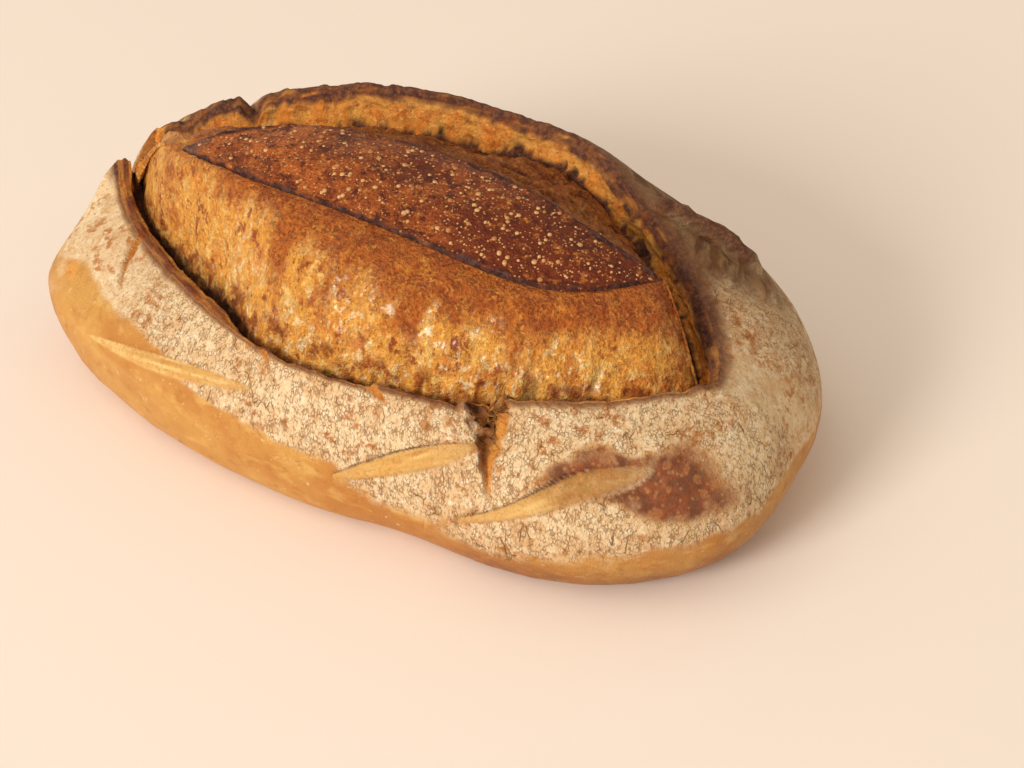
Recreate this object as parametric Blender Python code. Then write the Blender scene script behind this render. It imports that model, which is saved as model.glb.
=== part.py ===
"""Sourdough loaf: a long oval loaf, scored twice along its top so that it tore open in the oven.

The skin is one closed grid of rings, all of which run once round the loaf. From the flat base they go
out and up the flank to the torn edge of the crust, over that edge and down its inner wall, up the swollen
dough that burst out, over the rim of the leaf of old crust that is left between the two cuts, and close in
its middle. Small leaf-shaped cuts, a tear and broken flaps are relief in that skin.

Lengths are in metres, +X runs to the blunter end, -Y is the front and +Z is up. A place round the loaf is
its turn: 0 at the blunter end, 90 degrees at the back, 180 at the other end and 270 at the front. A place
on the flank is its climb: -1 at the foot, 0 at the widest line and 1 at the torn edge.
"""

import math

import bmesh
import bpy
import numpy as np

# Driving dimensions of the whole loaf
LOAF_LENGTH = 0.300
LOAF_WIDTH = 0.160
CROWN_HEIGHT = 0.107
BULGE_HEIGHT = 0.029
FOOT_SHARE = 0.81
OUTLINE_POWER = 2.62
BLUNT_END_GROWTH = 0.13
FRONT_ARC = 40.0
BACK_ARC = 70.0

# Where the outline swells or draws in, as turn in degrees and share of its radius
OUTLINE_SWELLS = ((52.0, 0.037), (206.0, 0.022), (284.0, -0.068))
SWELL_SPAN = 14.0

# The torn mouth, whose rim is the edge of the flaps
MOUTH_LENGTH = 0.268
MOUTH_WIDTH = 0.134
MOUTH_POWER = 1.51
MOUTH_GROWTH = 0.14
MOUTH_TURN = math.radians(-7.4)
MOUTH_SHIFT = (-0.008, -0.001)
FRONT_LIP_HEIGHT = 0.0635
FRONT_LIP_CLIMB = 0.07
BACK_LIP_HEIGHT = 0.0985
BACK_LIP_DROP = 0.033
BACK_LIP_TOP = -0.007

# The flap's thickness and the groove behind it, and between which turns in degrees the edge is thicker by
# a length and the groove shallower by a share
LIP_THICKNESS = 0.0024
LEFT_BAND = (0.0018, 190.0, 258.0)
FRONT_GROOVE_DEPTH = 0.0060
BACK_GROOVE_DEPTH = 0.0120
BACK_GROOVE_RISE = (0.35, 25.0, 75.0)

# The flap broke into pieces: first and last turn, and how far each piece's two ends stand up
FLAP_PIECES = (
    (266.0, 287.0, 0.0012, -0.0006),
    (287.0, 303.0, 0.0012, -0.0026),
    (311.0, 350.0, 0.0018, 0.0),
    (141.5, 157.0, 0.0006, 0.0006),
    (157.0, 168.0, -0.0012, 0.0014),
)
FLAP_BREAK = 0.8

# Waves of the torn edge: turn, span in degrees and lift. The last two are a notch and a horn.
# This lift of pieces and waves fades out down the flank, from the edge to the climb where it starts
LIP_WAVES = ((68.0, 9.0, 0.0040), (91.0, 9.0, -0.0028), (141.0, 1.7, -0.0045), (186.0, 1.6, 0.0034))
LIFT_START = 0.55

# Where the two flaps leave a gap at the narrower end, and how much wider it grows down the flank
END_GAP = (169.0, 183.0)
END_GAP_DEPTH = 0.0095
END_GAP_SPREAD = 14.0

# The tear down the front flap, from its foot up to the edge, with half its width in degrees
TEAR_FOOT_TURN = 297.7
TEAR_EDGE_TURN = 309.5
TEAR_FOOT_CLIMB = 0.27
TEAR_HALF_WIDTH = 3.9
TEAR_DEPTH = 0.0065

# Small cuts that opened as leaves: turn and climb at both ends, bow of the middle line, half the width
LEAF_CUTS = (
    ((272.5, -0.07), (301.0, 0.75), 0.06, 0.115),
    ((286.5, -0.28), (327.0, 0.60), 0.25, 0.125),
    ((231.5, 0.23), (260.0, 0.58), 0.01, 0.09),
)
LEAF_CUT_DEPTH = 0.0036
LEAF_CUT_SWELL = 0.0022

# A curled ear of crust behind the blunter end: turn, climb, their spans, and how far it stands out
EAR = (45.0, 0.72, 8.0, 0.07, 0.0035)

# The leaf of old crust between the two cuts
LEAF_LENGTH = 0.190
LEAF_SHIFT = 0.003
LEAF_MIDLINE = -0.006
LEAF_TILT = 0.004
LEAF_FRONT_HALF = 0.024
LEAF_BACK_HALF = 0.025
LEAF_RIM = 0.0016
LEAF_STEP = 0.0018
LEAF_END_DROP = 0.0134

# Unevenness of the baked skin: how high the lumps are, and how far across
FLANK_LUMPS = (0.0008, 0.034)
FRONT_BLOOM_LUMPS = (0.0008, 0.021)
BACK_BLOOM_LUMPS = (0.0022, 0.017)
WAVES = 9

# Rings of the skin, and points round each ring
POINTS_ROUND = 150
CLOSER_POINTS = ((139.0, 190.0, 0.7), (296.0, 314.0, 1.5))
FOOT_RINGS = 4
FLANK_RINGS = 16
WALL_RINGS = 2
BLOOM_RINGS = 10
LEAF_RINGS = 4


def smooth_step(low, high, value):
    """0 below low, 1 above high, and a smooth slope between them."""
    share = np.clip((value - low) / (high - low), 0.0, 1.0)
    return share * share * (3.0 - 2.0 * share)


def window(value, low, high, soft):
    """1 between low and high, fading to 0 over a width of soft outside them."""
    return smooth_step(low - soft, low, value) * (1.0 - smooth_step(high, high + soft, value))


def bump(value, centre, span):
    """1 at the centre, fading smoothly to nothing about two spans away."""
    return np.exp(-(((value - centre) / span) ** 2))


def unevenness(points, pitch, seed):
    """A smooth random swell of about -1 to 1, with lumps about one pitch across."""
    draw = np.random.default_rng(seed)
    total = np.zeros(points.shape[:-1])
    for _ in range(WAVES):
        heading = draw.normal(size=3)
        heading /= np.linalg.norm(heading)
        length = pitch * draw.uniform(0.8, 1.6)
        total += np.sin(points @ heading * (2.0 * math.pi / length) + draw.uniform(0.0, 2.0 * math.pi))
    return total / math.sqrt(WAVES)


def ring_turns(count):
    """Turns round the loaf, closer together at the tear and where the back flap is ragged."""
    fine = np.linspace(0.0, 360.0, 3601)
    density = np.ones_like(fine)
    for first, last, extra in CLOSER_POINTS:
        density += extra * window(fine, first, last, 6.0)
    total = np.cumsum(density)
    return np.radians(np.interp(np.arange(count) / count * total[-1], total, fine))


def oval(turn, half_length, half_width, power):
    """A rounded-off oval in plan, with its points spaced about evenly along it."""
    heading = np.arctan2(half_width * np.sin(turn), half_length * np.cos(turn))
    along = np.abs(np.cos(heading) / half_length) ** power
    across = np.abs(np.sin(heading) / half_width) ** power
    radius = (along + across) ** (-1.0 / power)
    return radius * np.cos(heading), radius * np.sin(heading)


def back_share(turn):
    """0 along the front of the loaf, 1 along its back, and a mix at the two ends."""
    return smooth_step(-0.35, 0.35, np.sin(turn))


def craggy_share(turn):
    """How far the burst dough is craggy: 1 along the back, 0 in front and at the narrower end."""
    return back_share(turn) * smooth_step(-0.97, -0.70, np.cos(turn))


def outline(turn):
    """The widest line of the loaf, at the height of its bulge."""
    x, y = oval(turn, LOAF_LENGTH / 2, LOAF_WIDTH / 2, OUTLINE_POWER)
    y = y * (1.0 + BLUNT_END_GROWTH * x / (LOAF_LENGTH / 2))
    swell = 1.0 + sum(share * bump(np.degrees(turn), place, SWELL_SPAN) for place, share in OUTLINE_SWELLS)
    return x * swell, y * swell


def flap_lift(turn, climb):
    """How far the broken pieces of the flap stand above or below its even line."""
    place = np.degrees(turn)
    lift = sum(height * bump(place, middle, span) for middle, span, height in LIP_WAVES)
    for first, last, low, high in FLAP_PIECES:
        share = np.clip((place - first) / (last - first), 0.0, 1.0)
        lift = lift + (low + (high - low) * share) * window(place, first, last, FLAP_BREAK)
    gap = window(place, END_GAP[0], END_GAP[1], 1.2 + END_GAP_SPREAD * (1.0 - climb))
    return lift * smooth_step(LIFT_START, 1.0, climb) - END_GAP_DEPTH * gap * smooth_step(-0.1, 0.75, climb)


def lip(turn):
    """The torn edge of the crust before it broke into pieces: low in front, tall at the back."""
    x, y = oval(turn, MOUTH_LENGTH / 2, MOUTH_WIDTH / 2, MOUTH_POWER)
    y = y * (1.0 + MOUTH_GROWTH * x / (MOUTH_LENGTH / 2))
    cosine, sine = math.cos(MOUTH_TURN), math.sin(MOUTH_TURN)
    x, y = x * cosine - y * sine + MOUTH_SHIFT[0], x * sine + y * cosine + MOUTH_SHIFT[1]
    front = FRONT_LIP_HEIGHT + FRONT_LIP_CLIMB * x
    back = BACK_LIP_HEIGHT - BACK_LIP_DROP * np.abs((x - BACK_LIP_TOP) / (MOUTH_LENGTH / 2)) ** 2.2
    share = back_share(turn)
    return np.stack([x, y, front * (1.0 - share) + back * share], axis=-1)


def tear(turn, climb):
    """The open tear down the front flap: 0 outside it, 1 at its deepest."""
    rise = np.clip((climb - TEAR_FOOT_CLIMB) / (1.0 - TEAR_FOOT_CLIMB), 0.0, 1.0)
    middle = TEAR_FOOT_TURN + (TEAR_EDGE_TURN - TEAR_FOOT_TURN) * rise**1.8
    half = 0.3 + TEAR_HALF_WIDTH * rise**1.8
    across = (np.degrees(turn) - middle) / half
    return smooth_step(-1.3, -0.5, across) * (1.0 - smooth_step(0.1, 1.4, across)) * rise


def leaf_cut(turn, climb, start, end, bow, half_width):
    """Relief of one small cut: its floor sinks towards the upper edge, and swells in the middle."""
    share = (np.degrees(turn) - start[0]) / (end[0] - start[0])
    inside = np.clip(share, 0.0, 1.0)
    middle = start[1] + (end[1] - start[1]) * share + bow * np.sin(math.pi * inside)
    half = half_width * np.sin(math.pi * inside) ** 0.7 + 0.004
    across = (climb - middle) / half
    sunk = -LEAF_CUT_DEPTH * smooth_step(-1.2, 0.6, across) * (1.0 - smooth_step(0.8, 1.6, across))
    swell = LEAF_CUT_SWELL * np.clip(1.0 - across**2, 0.0, 1.0)
    return (sunk + swell) * np.sin(math.pi * inside) ** 1.2


def flank_relief(turn, climb, points):
    """How far the flank stands out from its even shape, apart from the tear."""
    relief = sum(leaf_cut(turn, climb, *cut) for cut in LEAF_CUTS)
    place, height, span, tall, out = EAR
    relief = relief + out * bump(np.degrees(turn), place, span) * bump(climb, height, tall)
    lumps = FLANK_LUMPS[0] * unevenness(points, FLANK_LUMPS[1], 3)
    return relief + lumps * smooth_step(-0.9, -0.3, climb)


def flank_ring(turn, climb):
    """One even ring of the outside, between the foot at -1 and the lip at 1."""
    x, y = outline(turn)
    if climb <= 0.0:
        roll = (climb + 1.0) * math.pi / 2
        share = FOOT_SHARE + (1.0 - FOOT_SHARE) * math.sin(roll)
        height = BULGE_HEIGHT * (1.0 - math.cos(roll))
        return np.stack([x * share, y * share, np.full_like(x, height)], axis=-1)
    edge = lip(turn)
    arc = np.radians(FRONT_ARC + (BACK_ARC - FRONT_ARC) * back_share(turn))
    inward = (1.0 - np.cos(arc * climb)) / (1.0 - np.cos(arc))
    rise = np.sin(arc * climb) / np.sin(arc)
    height = BULGE_HEIGHT + (edge[:, 2] - BULGE_HEIGHT) * rise
    height = height + flap_lift(turn, climb)
    return np.stack([x + (edge[:, 0] - x) * inward, y + (edge[:, 1] - y) * inward, height], axis=-1)


def push(rings, amount):
    """Rings moved out along the normal of the sheet that they make."""
    along = np.roll(rings, -1, axis=1) - np.roll(rings, 1, axis=1)
    normal = np.cross(along, np.gradient(rings, axis=0))
    normal /= np.linalg.norm(normal, axis=-1, keepdims=True)
    return rings + normal * amount[..., np.newaxis]


def flank(turn):
    """The outside from the foot to the torn edge with its cuts, and the same with its tear open."""
    climbs = [-1.0 + step / FOOT_RINGS for step in range(FOOT_RINGS)]
    climbs += [step / FLANK_RINGS for step in range(FLANK_RINGS + 1)]
    rings = np.array([flank_ring(turn, climb) for climb in climbs])
    climb = np.array(climbs)[:, np.newaxis]
    whole = push(rings, flank_relief(turn, climb, rings))
    return whole, push(whole, -TEAR_DEPTH * tear(turn, climb))


def inset(line, even_line, distance, drop):
    """A closed line moved inwards by distance, across an even line beside it, and down by drop."""
    tangent = np.roll(even_line, -1, axis=0) - np.roll(even_line, 1, axis=0)
    length = np.hypot(tangent[:, 0], tangent[:, 1])
    moved = line.copy()
    moved[:, 0] -= distance * tangent[:, 1] / length
    moved[:, 1] += distance * tangent[:, 0] / length
    moved[:, 2] -= drop
    return moved


def inner_wall(edge, turn, torn):
    """The thickness of the flap and its inner face, down to the groove beside the burst dough."""
    place = np.degrees(turn)
    deep = back_share(turn) * (1.0 - 0.8 * smooth_step(0.7, 1.0, np.cos(turn)))
    depth = FRONT_GROOVE_DEPTH + (BACK_GROOVE_DEPTH - FRONT_GROOVE_DEPTH) * deep
    shallower, first, last = BACK_GROOVE_RISE
    depth = depth * (1.0 - shallower * window(place, first, last, 20.0))
    depth = depth * (1.0 - 0.9 * window(place, END_GAP[0], END_GAP[1], 2.0)) * (1.0 - 0.8 * torn)
    thicker, first, last = LEFT_BAND
    thickness = LIP_THICKNESS + thicker * window(place, first, last, 8.0)
    even = lip(turn)
    rings = [inset(edge, even, thickness, 0.3 * thickness)]
    for step in range(1, WALL_RINGS + 1):
        share = step / WALL_RINGS
        rings.append(inset(edge, even, thickness + 0.35 * depth * share, 0.3 * thickness + depth * share))
    return rings


def crown(x, y):
    """The height of the old top of the loaf, which the leaf of crust still follows."""
    run = np.abs((x - LEAF_SHIFT) / (LEAF_LENGTH / 2))
    return CROWN_HEIGHT - LEAF_END_DROP * run**2.5 - 8.0 * (y - LEAF_MIDLINE) ** 2


def leaf_line(turn, share):
    """The edge of the leaf of old crust, drawn in towards its midline by share."""
    run = np.cos(turn)
    front = -LEAF_FRONT_HALF * (1.0 - np.abs(run) ** 4.5) * (1.0 + 0.50 * run)
    back = LEAF_BACK_HALF * (1.0 - np.abs(run) ** 2.3) * (1.0 - 0.80 * run)
    x = LEAF_SHIFT + LEAF_LENGTH / 2 * run * (0.4 + 0.6 * share)
    y = LEAF_MIDLINE + LEAF_TILT * run + share * np.where(np.sin(turn) < 0.0, front, back)
    return np.stack([x, y, crown(x, y)], axis=-1)


def bloom(groove, torn_groove, rim, turn):
    """The dough that burst out, from the groove up to the leaf, lumpy in front and craggy at the back."""
    craggy = craggy_share(turn)
    swell = 2.6 - 1.5 * craggy - 0.9 * smooth_step(0.55, 0.95, np.cos(turn)) * (1.0 - craggy)
    swell = swell - 0.8 * window(np.degrees(turn), 160.0, 192.0, 25.0) * (1.0 - craggy)
    shares = np.arange(BLOOM_RINGS + 1) / BLOOM_RINGS
    rings = groove + (rim - groove) * shares[:, np.newaxis, np.newaxis]
    rise = 1.0 - (1.0 - shares[:, np.newaxis]) ** swell
    rings[..., 2] = groove[:, 2] + (rim[:, 2] - groove[:, 2]) * rise
    rings += (torn_groove - groove) * (1.0 - smooth_step(0.0, 0.25, shares))[:, np.newaxis, np.newaxis]
    front = FRONT_BLOOM_LUMPS[0] * unevenness(rings, FRONT_BLOOM_LUMPS[1], 5)
    back = BACK_BLOOM_LUMPS[0] * unevenness(rings, BACK_BLOOM_LUMPS[1], 8)
    lumps = front + (back - front) * craggy
    edges = smooth_step(0.0, 0.3, shares) * (1.0 - smooth_step(0.85, 1.0, shares))
    return push(rings, lumps * edges[:, np.newaxis])[1:]


def skin_rings(turn):
    """Every ring of the skin, in order, as one array of ring, point and coordinate."""
    whole, outside = flank(turn)
    wall = inner_wall(outside[-1], turn, tear(turn, 1.0))
    groove = inner_wall(whole[-1], turn, 0.0)[-1]
    foot = leaf_line(turn, 1.0) - np.array([0.0, 0.0, LEAF_STEP])
    dough = bloom(groove, wall[-1], foot, turn)
    raised = leaf_line(turn, 0.95) + np.array([0.0, 0.0, LEAF_RIM])
    leaf = [leaf_line(turn, 0.85 * (1.0 - step / LEAF_RINGS) + 0.02) for step in range(LEAF_RINGS)]
    return np.array([*outside, *wall, *dough, raised, *leaf])


def skin_mesh(rings):
    """The rings joined to one closed mesh, with a flat base and a point in the middle of the leaf.

    Each quad is split from its low corner to the high corner one turn on, because the cuts and the tear
    rise that way too, so that their edges come out clean.
    """
    mesh = bmesh.new()
    rows = [[mesh.verts.new(point) for point in ring] for ring in rings]
    count = len(rows[0])
    mesh.faces.new(list(reversed(rows[0])))
    for below, above in zip(rows, rows[1:]):
        for place in range(count):
            after = (place + 1) % count
            mesh.faces.new([below[place], below[after], above[after]])
            mesh.faces.new([below[place], above[after], above[place]])
    middle = mesh.verts.new(rings[-1].mean(axis=0))
    for place in range(count):
        mesh.faces.new([rows[-1][place], rows[-1][(place + 1) % count], middle])
    bmesh.ops.triangulate(mesh, faces=mesh.faces[:])
    return mesh


def crust_material():
    """Baked crust, a matt golden brown."""
    material = bpy.data.materials.new("baked_crust")
    material.use_nodes = True
    shader = material.node_tree.nodes["Principled BSDF"]
    shader.inputs["Base Color"].default_value = (0.45, 0.19, 0.06, 1.0)
    shader.inputs["Roughness"].default_value = 0.65
    shader.inputs["Metallic"].default_value = 0.0
    return material


def make_loaf():
    """The loaf as one object, standing on its base with its origin under its middle."""
    rings = skin_rings(ring_turns(POINTS_ROUND))
    low, high = rings.min(axis=(0, 1)), rings.max(axis=(0, 1))
    rings[:, :, :2] -= (low[:2] + high[:2]) / 2
    mesh = skin_mesh(rings)
    data = bpy.data.meshes.new("loaf")
    mesh.to_mesh(data)
    mesh.free()
    loaf = bpy.data.objects.new("loaf", data)
    bpy.context.scene.collection.objects.link(loaf)
    data.materials.append(crust_material())
    data.shade_smooth()
    data.set_sharp_from_angle(angle=math.radians(40.0))
    return loaf


for leftover in list(bpy.data.objects):
    bpy.data.objects.remove(leftover)
make_loaf()
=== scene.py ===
# %% [markdown]
# # A sourdough loaf
#
# This lesson builds one long sourdough loaf as its baker would see it. The dough was floured, cut twice along
# its top with a blade, and burst in the oven between the cuts. What shows is a floured crust with raised,
# torn flaps, the glossy granular dough that burst out between them, and a dark leaf of the old crust that
# stayed whole between the two cuts. Everything is in metres, -Y is the front and +Z is up.
#
# The imported model comes first. It is the fixed frame that every piece is built around, and its box is kept.

# %% Load the frame
import itertools
import math

import bpy
import numpy as np
from mathutils import Matrix, Vector


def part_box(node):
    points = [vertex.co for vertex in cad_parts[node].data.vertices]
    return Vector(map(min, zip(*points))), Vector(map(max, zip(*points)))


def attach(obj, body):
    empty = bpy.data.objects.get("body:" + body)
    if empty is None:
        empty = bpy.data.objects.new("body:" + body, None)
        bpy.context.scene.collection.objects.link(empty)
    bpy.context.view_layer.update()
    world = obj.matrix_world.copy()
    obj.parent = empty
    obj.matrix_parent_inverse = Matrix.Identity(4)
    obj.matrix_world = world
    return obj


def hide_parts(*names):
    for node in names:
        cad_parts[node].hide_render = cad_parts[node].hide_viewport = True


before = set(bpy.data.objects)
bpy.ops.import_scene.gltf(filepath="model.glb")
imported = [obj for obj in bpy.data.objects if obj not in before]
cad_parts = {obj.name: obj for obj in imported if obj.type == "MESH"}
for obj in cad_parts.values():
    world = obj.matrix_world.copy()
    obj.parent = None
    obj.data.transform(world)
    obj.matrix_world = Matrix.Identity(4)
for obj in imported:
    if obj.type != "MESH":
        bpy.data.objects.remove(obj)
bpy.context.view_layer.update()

MM = 0.001
loaf_low, loaf_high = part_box("loaf")
print("the loaf's solid measures", [round((b - a) / MM, 1) for a, b in zip(loaf_low, loaf_high)], "mm")

# %% [markdown]
# The camera stands in front and to the right of the loaf and looks down on it at about 39 degrees, as
# someone at a table would. A long lens keeps the loaf's two ends in proportion. It could be aimed with a
# constraint, but a matrix built from its own three axes says exactly where it looks.

# %% Camera
CAMERA_AZIMUTH = math.radians(27.4)
CAMERA_ELEVATION = math.radians(38.9)
CAMERA_DISTANCE = 0.80
CAMERA_AIM = (0.0339, -0.0321)
CAMERA_AIM_HEIGHT = 0.05
CAMERA_LENS = 76.8
SENSOR_WIDTH = 36.0

back = Vector(
    (
        math.sin(CAMERA_AZIMUTH) * math.cos(CAMERA_ELEVATION),
        -math.cos(CAMERA_AZIMUTH) * math.cos(CAMERA_ELEVATION),
        math.sin(CAMERA_ELEVATION),
    )
)
right = Vector((math.cos(CAMERA_AZIMUTH), math.sin(CAMERA_AZIMUTH), 0.0))
up = back.cross(right)
aim = Vector((0.0, 0.0, CAMERA_AIM_HEIGHT)) + right * CAMERA_AIM[0] + up * CAMERA_AIM[1]
place = aim + back * CAMERA_DISTANCE
camera = bpy.data.objects.new("camera", bpy.data.cameras.new("camera"))
bpy.context.scene.collection.objects.link(camera)
camera.matrix_world = Matrix(
    [[right[row], up[row], back[row], place[row]] for row in range(3)] + [[0.0, 0.0, 0.0, 1.0]]
)
camera.data.lens = CAMERA_LENS
camera.data.sensor_width = SENSOR_WIDTH
bpy.context.scene.camera = camera
print("camera at", [round(v, 3) for v in place])

# %% [markdown]
# Colours are written as the sRGB hex values that a painter would pick, and one function turns them into the
# linear values that a shader works with. A second small function adds a node and its links, so that a
# material reads from top to bottom as a recipe.

# %% Helpers for colours and nodes
def linear(code, alpha=1.0):
    """An sRGB hex colour as the linear colour of a shader."""
    parts = [int(code[i : i + 2], 16) / 255 for i in (1, 3, 5)]
    return (*[p / 12.92 if p <= 0.04045 else ((p + 0.055) / 1.055) ** 2.4 for p in parts], alpha)


def add_node(tree, kind, inputs=None, **settings):
    """Adds one node. Each input is named or numbered, and gets a value or a link from another socket."""
    made = tree.nodes.new(kind)
    for name, value in settings.items():
        setattr(made, name, value)
    for name, value in (inputs or {}).items():
        if isinstance(value, bpy.types.NodeSocket):
            tree.links.new(value, made.inputs[name])
        else:
            made.inputs[name].default_value = value
    return made


print("golden crust in linear light:", [round(v, 3) for v in linear("#C98B3E")])

# %% [markdown]
# The floor is one sheet of pale warm paper, which is uncoated and so quite matt. A small soft box stands low
# in front and a little to the left, a broad window light hangs over it, and a warm fill comes from all round.
# That is how the shadow falls to the right and behind, and how the flour keeps its grain. A sun lamp would
# give a harder shadow edge, and a bright world alone would give none.

# %% Floor and light
PAPER_SIZE = 6.0
PAPER_ROUGHNESS = 0.9
KEY_PLACE = Vector((-0.98, -3.45, 1.75))
KEY_SIZE = 1.30
KEY_POWER = 114.0
KEY_COLOUR = (1.0, 0.98, 0.95)
WINDOW_PLACE = Vector((-1.17, -1.79, 3.26))
WINDOW_SIZE = 3.4
WINDOW_POWER = 36.0
WINDOW_COLOUR = (1.0, 0.97, 0.91)
FILL_STRENGTH = 0.57
FILL_COLOUR = (1.0, 0.90, 0.76, 1.0)

paper = bpy.data.materials.new("pale_paper")
paper.use_nodes = True
paper_shader = paper.node_tree.nodes["Principled BSDF"]
paper_shader.inputs["Base Color"].default_value = linear("#F6E6D8")
paper_shader.inputs["Roughness"].default_value = PAPER_ROUGHNESS

floor_mesh = bpy.data.meshes.new("floor")
half = PAPER_SIZE / 2
corners = [(-half, -half, 0), (half, -half, 0), (half, half, 0), (-half, half, 0)]
floor_mesh.from_pydata(corners, [], [(0, 1, 2, 3)])
floor_mesh.materials.append(paper)
floor = bpy.data.objects.new("floor", floor_mesh)
bpy.context.scene.collection.objects.link(floor)


def soft_box(name, place, size, power, colour):
    """A square area light that looks at the loaf."""
    light = bpy.data.objects.new(name, bpy.data.lights.new(name, "AREA"))
    light.data.size = size
    light.data.energy = power
    light.data.color = colour
    light.location = place
    light.rotation_mode = "QUATERNION"
    light.rotation_quaternion = (-place).to_track_quat("-Z", "Y")
    bpy.context.scene.collection.objects.link(light)


soft_box("key", KEY_PLACE, KEY_SIZE, KEY_POWER, KEY_COLOUR)
soft_box("window", WINDOW_PLACE, WINDOW_SIZE, WINDOW_POWER, WINDOW_COLOUR)

world = bpy.data.worlds.new("room")
world.use_nodes = True
fill = world.node_tree.nodes["Background"]
fill.inputs["Color"].default_value = FILL_COLOUR
fill.inputs["Strength"].default_value = FILL_STRENGTH
bpy.context.scene.world = world
bpy.context.scene.view_settings.view_transform = "Standard"
print("key light", round(KEY_PLACE.length, 2), "m from the loaf, fill", FILL_STRENGTH)

# %% [markdown]
# The loaf's form follows from a few sizes that could be taken with a ruler. A place on its skin is given by
# its turn, the angle round the loaf, and its climb, which runs from -1 at the foot over 0 at the widest line
# to 1 at the torn edge. Working in turn and climb keeps every cut and flap where it belongs on the skin,
# whatever the loaf's outline does. Turns and their spans are in degrees: 0 is the blunter end, 90 the back,
# 180 the narrower end and 270 the front.

# %% Sizes of the loaf
LOAF_LENGTH = 0.300
LOAF_WIDTH = 0.160
CROWN_HEIGHT = 0.107
BULGE_HEIGHT = 0.029
FOOT_SHARE = 0.81
OUTLINE_POWER = 2.62
BLUNT_END_GROWTH = 0.13
FRONT_ARC = 40.0
BACK_ARC = 70.0
# Turn and share by which the outline swells, or draws in
OUTLINE_SWELLS = ((52.0, 0.037), (206.0, 0.022), (284.0, -0.068))
SWELL_SPAN = 14.0
MOUTH_LENGTH = 0.268
MOUTH_WIDTH = 0.134
MOUTH_POWER = 1.51
MOUTH_GROWTH = 0.14
MOUTH_TURN = math.radians(-7.4)
MOUTH_SHIFT = (-0.008, -0.001)
FRONT_LIP_HEIGHT = 0.0635
FRONT_LIP_CLIMB = 0.07
BACK_LIP_HEIGHT = 0.0985
BACK_LIP_DROP = 0.033
BACK_LIP_TOP = -0.007
FRONT_GROOVE_DEPTH = 0.0060
BACK_GROOVE_DEPTH = 0.012
# Pieces that the flap broke into: first and last turn, and how far the edge is lifted at each
FLAP_PIECES = (
    (266.0, 287.0, 0.0012, -0.0006),
    (287.0, 303.0, 0.0012, -0.0026),
    (311.0, 350.0, 0.0018, 0.0),
    (141.5, 157.0, 0.0006, 0.0006),
    (157.0, 168.0, -0.0012, 0.0014),
)
FLAP_BREAK = 0.5
# Waves of the torn edge: turn, span and lift. The last is the horn beside the gap
LIP_WAVES = ((68.0, 9.0, 0.0040), (91.0, 9.0, -0.0028), (186.0, 2.0, 0.0052))
NOTCH_TURN = 141.0
NOTCH_DEPTH = 0.0066
END_GAP = (168.5, 183.0)
END_GAP_DEPTH = 0.0135
END_GAP_SPREAD = 14.0
LEAF_LENGTH = 0.190
LEAF_SHIFT = 0.003
LEAF_MIDLINE = -0.006
LEAF_TILT = 0.004
LEAF_FRONT_HALF = 0.024
LEAF_BACK_HALF = 0.025
LEAF_STEP = 0.0007
LEAF_END_DROP = 0.0134
print("height over length:", round(CROWN_HEIGHT / LOAF_LENGTH, 3))

# %% [markdown]
# Small functions of turn and climb give the loaf its lines: the widest outline, the torn edge that the
# baker calls the ear, and the leaf between the cuts. An oval with a power between an ellipse and a box
# suits a loaf that spread against its own skin. Drawing these lines by hand would take long lists of points.

# %% Lines of the loaf
def smooth_step(low, high, value):
    """0 below low, 1 above high, and a smooth slope between them."""
    share = np.clip((value - low) / (high - low), 0.0, 1.0)
    return share * share * (3.0 - 2.0 * share)


def window(value, low, high, soft):
    """1 between low and high, fading to 0 over a width of soft outside them."""
    return smooth_step(low - soft, low, value) * (1.0 - smooth_step(high, high + soft, value))


def bump(value, centre, span):
    """1 at the centre, fading smoothly to nothing about two spans away."""
    return np.exp(-(((value - centre) / span) ** 2))


def oval(turn, half_length, half_width, power):
    """A rounded-off oval in plan, with its points spaced about evenly along it."""
    heading = np.arctan2(half_width * np.sin(turn), half_length * np.cos(turn))
    along = np.abs(np.cos(heading) / half_length) ** power
    across = np.abs(np.sin(heading) / half_width) ** power
    radius = (along + across) ** (-1.0 / power)
    return radius * np.cos(heading), radius * np.sin(heading)


def back_share(turn):
    """0 along the front of the loaf, 1 along its back, and a mix at the two ends."""
    return smooth_step(-0.35, 0.35, np.sin(turn))


def craggy_share(turn):
    """How far the burst dough is craggy: 1 along the back, 0 in front and at the narrower end."""
    return back_share(turn) * smooth_step(-0.97, -0.70, np.cos(turn))


def outline(turn):
    """The widest line of the loaf, at the height of its bulge."""
    x, y = oval(turn, LOAF_LENGTH / 2, LOAF_WIDTH / 2, OUTLINE_POWER)
    y = y * (1.0 + BLUNT_END_GROWTH * x / (LOAF_LENGTH / 2))
    swell = 1.0 + sum(share * bump(np.degrees(turn), place, SWELL_SPAN) for place, share in OUTLINE_SWELLS)
    return x * swell, y * swell


def flap_lift(turn, climb):
    """How far the broken pieces of the flap stand above or below its even line."""
    place = np.degrees(turn)
    lift = sum(height * bump(place, middle, span) for middle, span, height in LIP_WAVES)
    for first, last, low, high in FLAP_PIECES:
        share = np.clip((place - first) / (last - first), 0.0, 1.0)
        lift = lift + (low + (high - low) * share) * window(place, first, last, FLAP_BREAK)
    gap = window(place, END_GAP[0], END_GAP[1], 0.8 + END_GAP_SPREAD * (1.0 - climb))
    notch = NOTCH_DEPTH * bump(place, NOTCH_TURN, 2.1 + 6.0 * (1.0 - climb)) * smooth_step(0.1, 0.9, climb)
    return lift * smooth_step(0.55, 1.0, climb) - END_GAP_DEPTH * gap * smooth_step(-0.1, 0.75, climb) - notch


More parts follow.
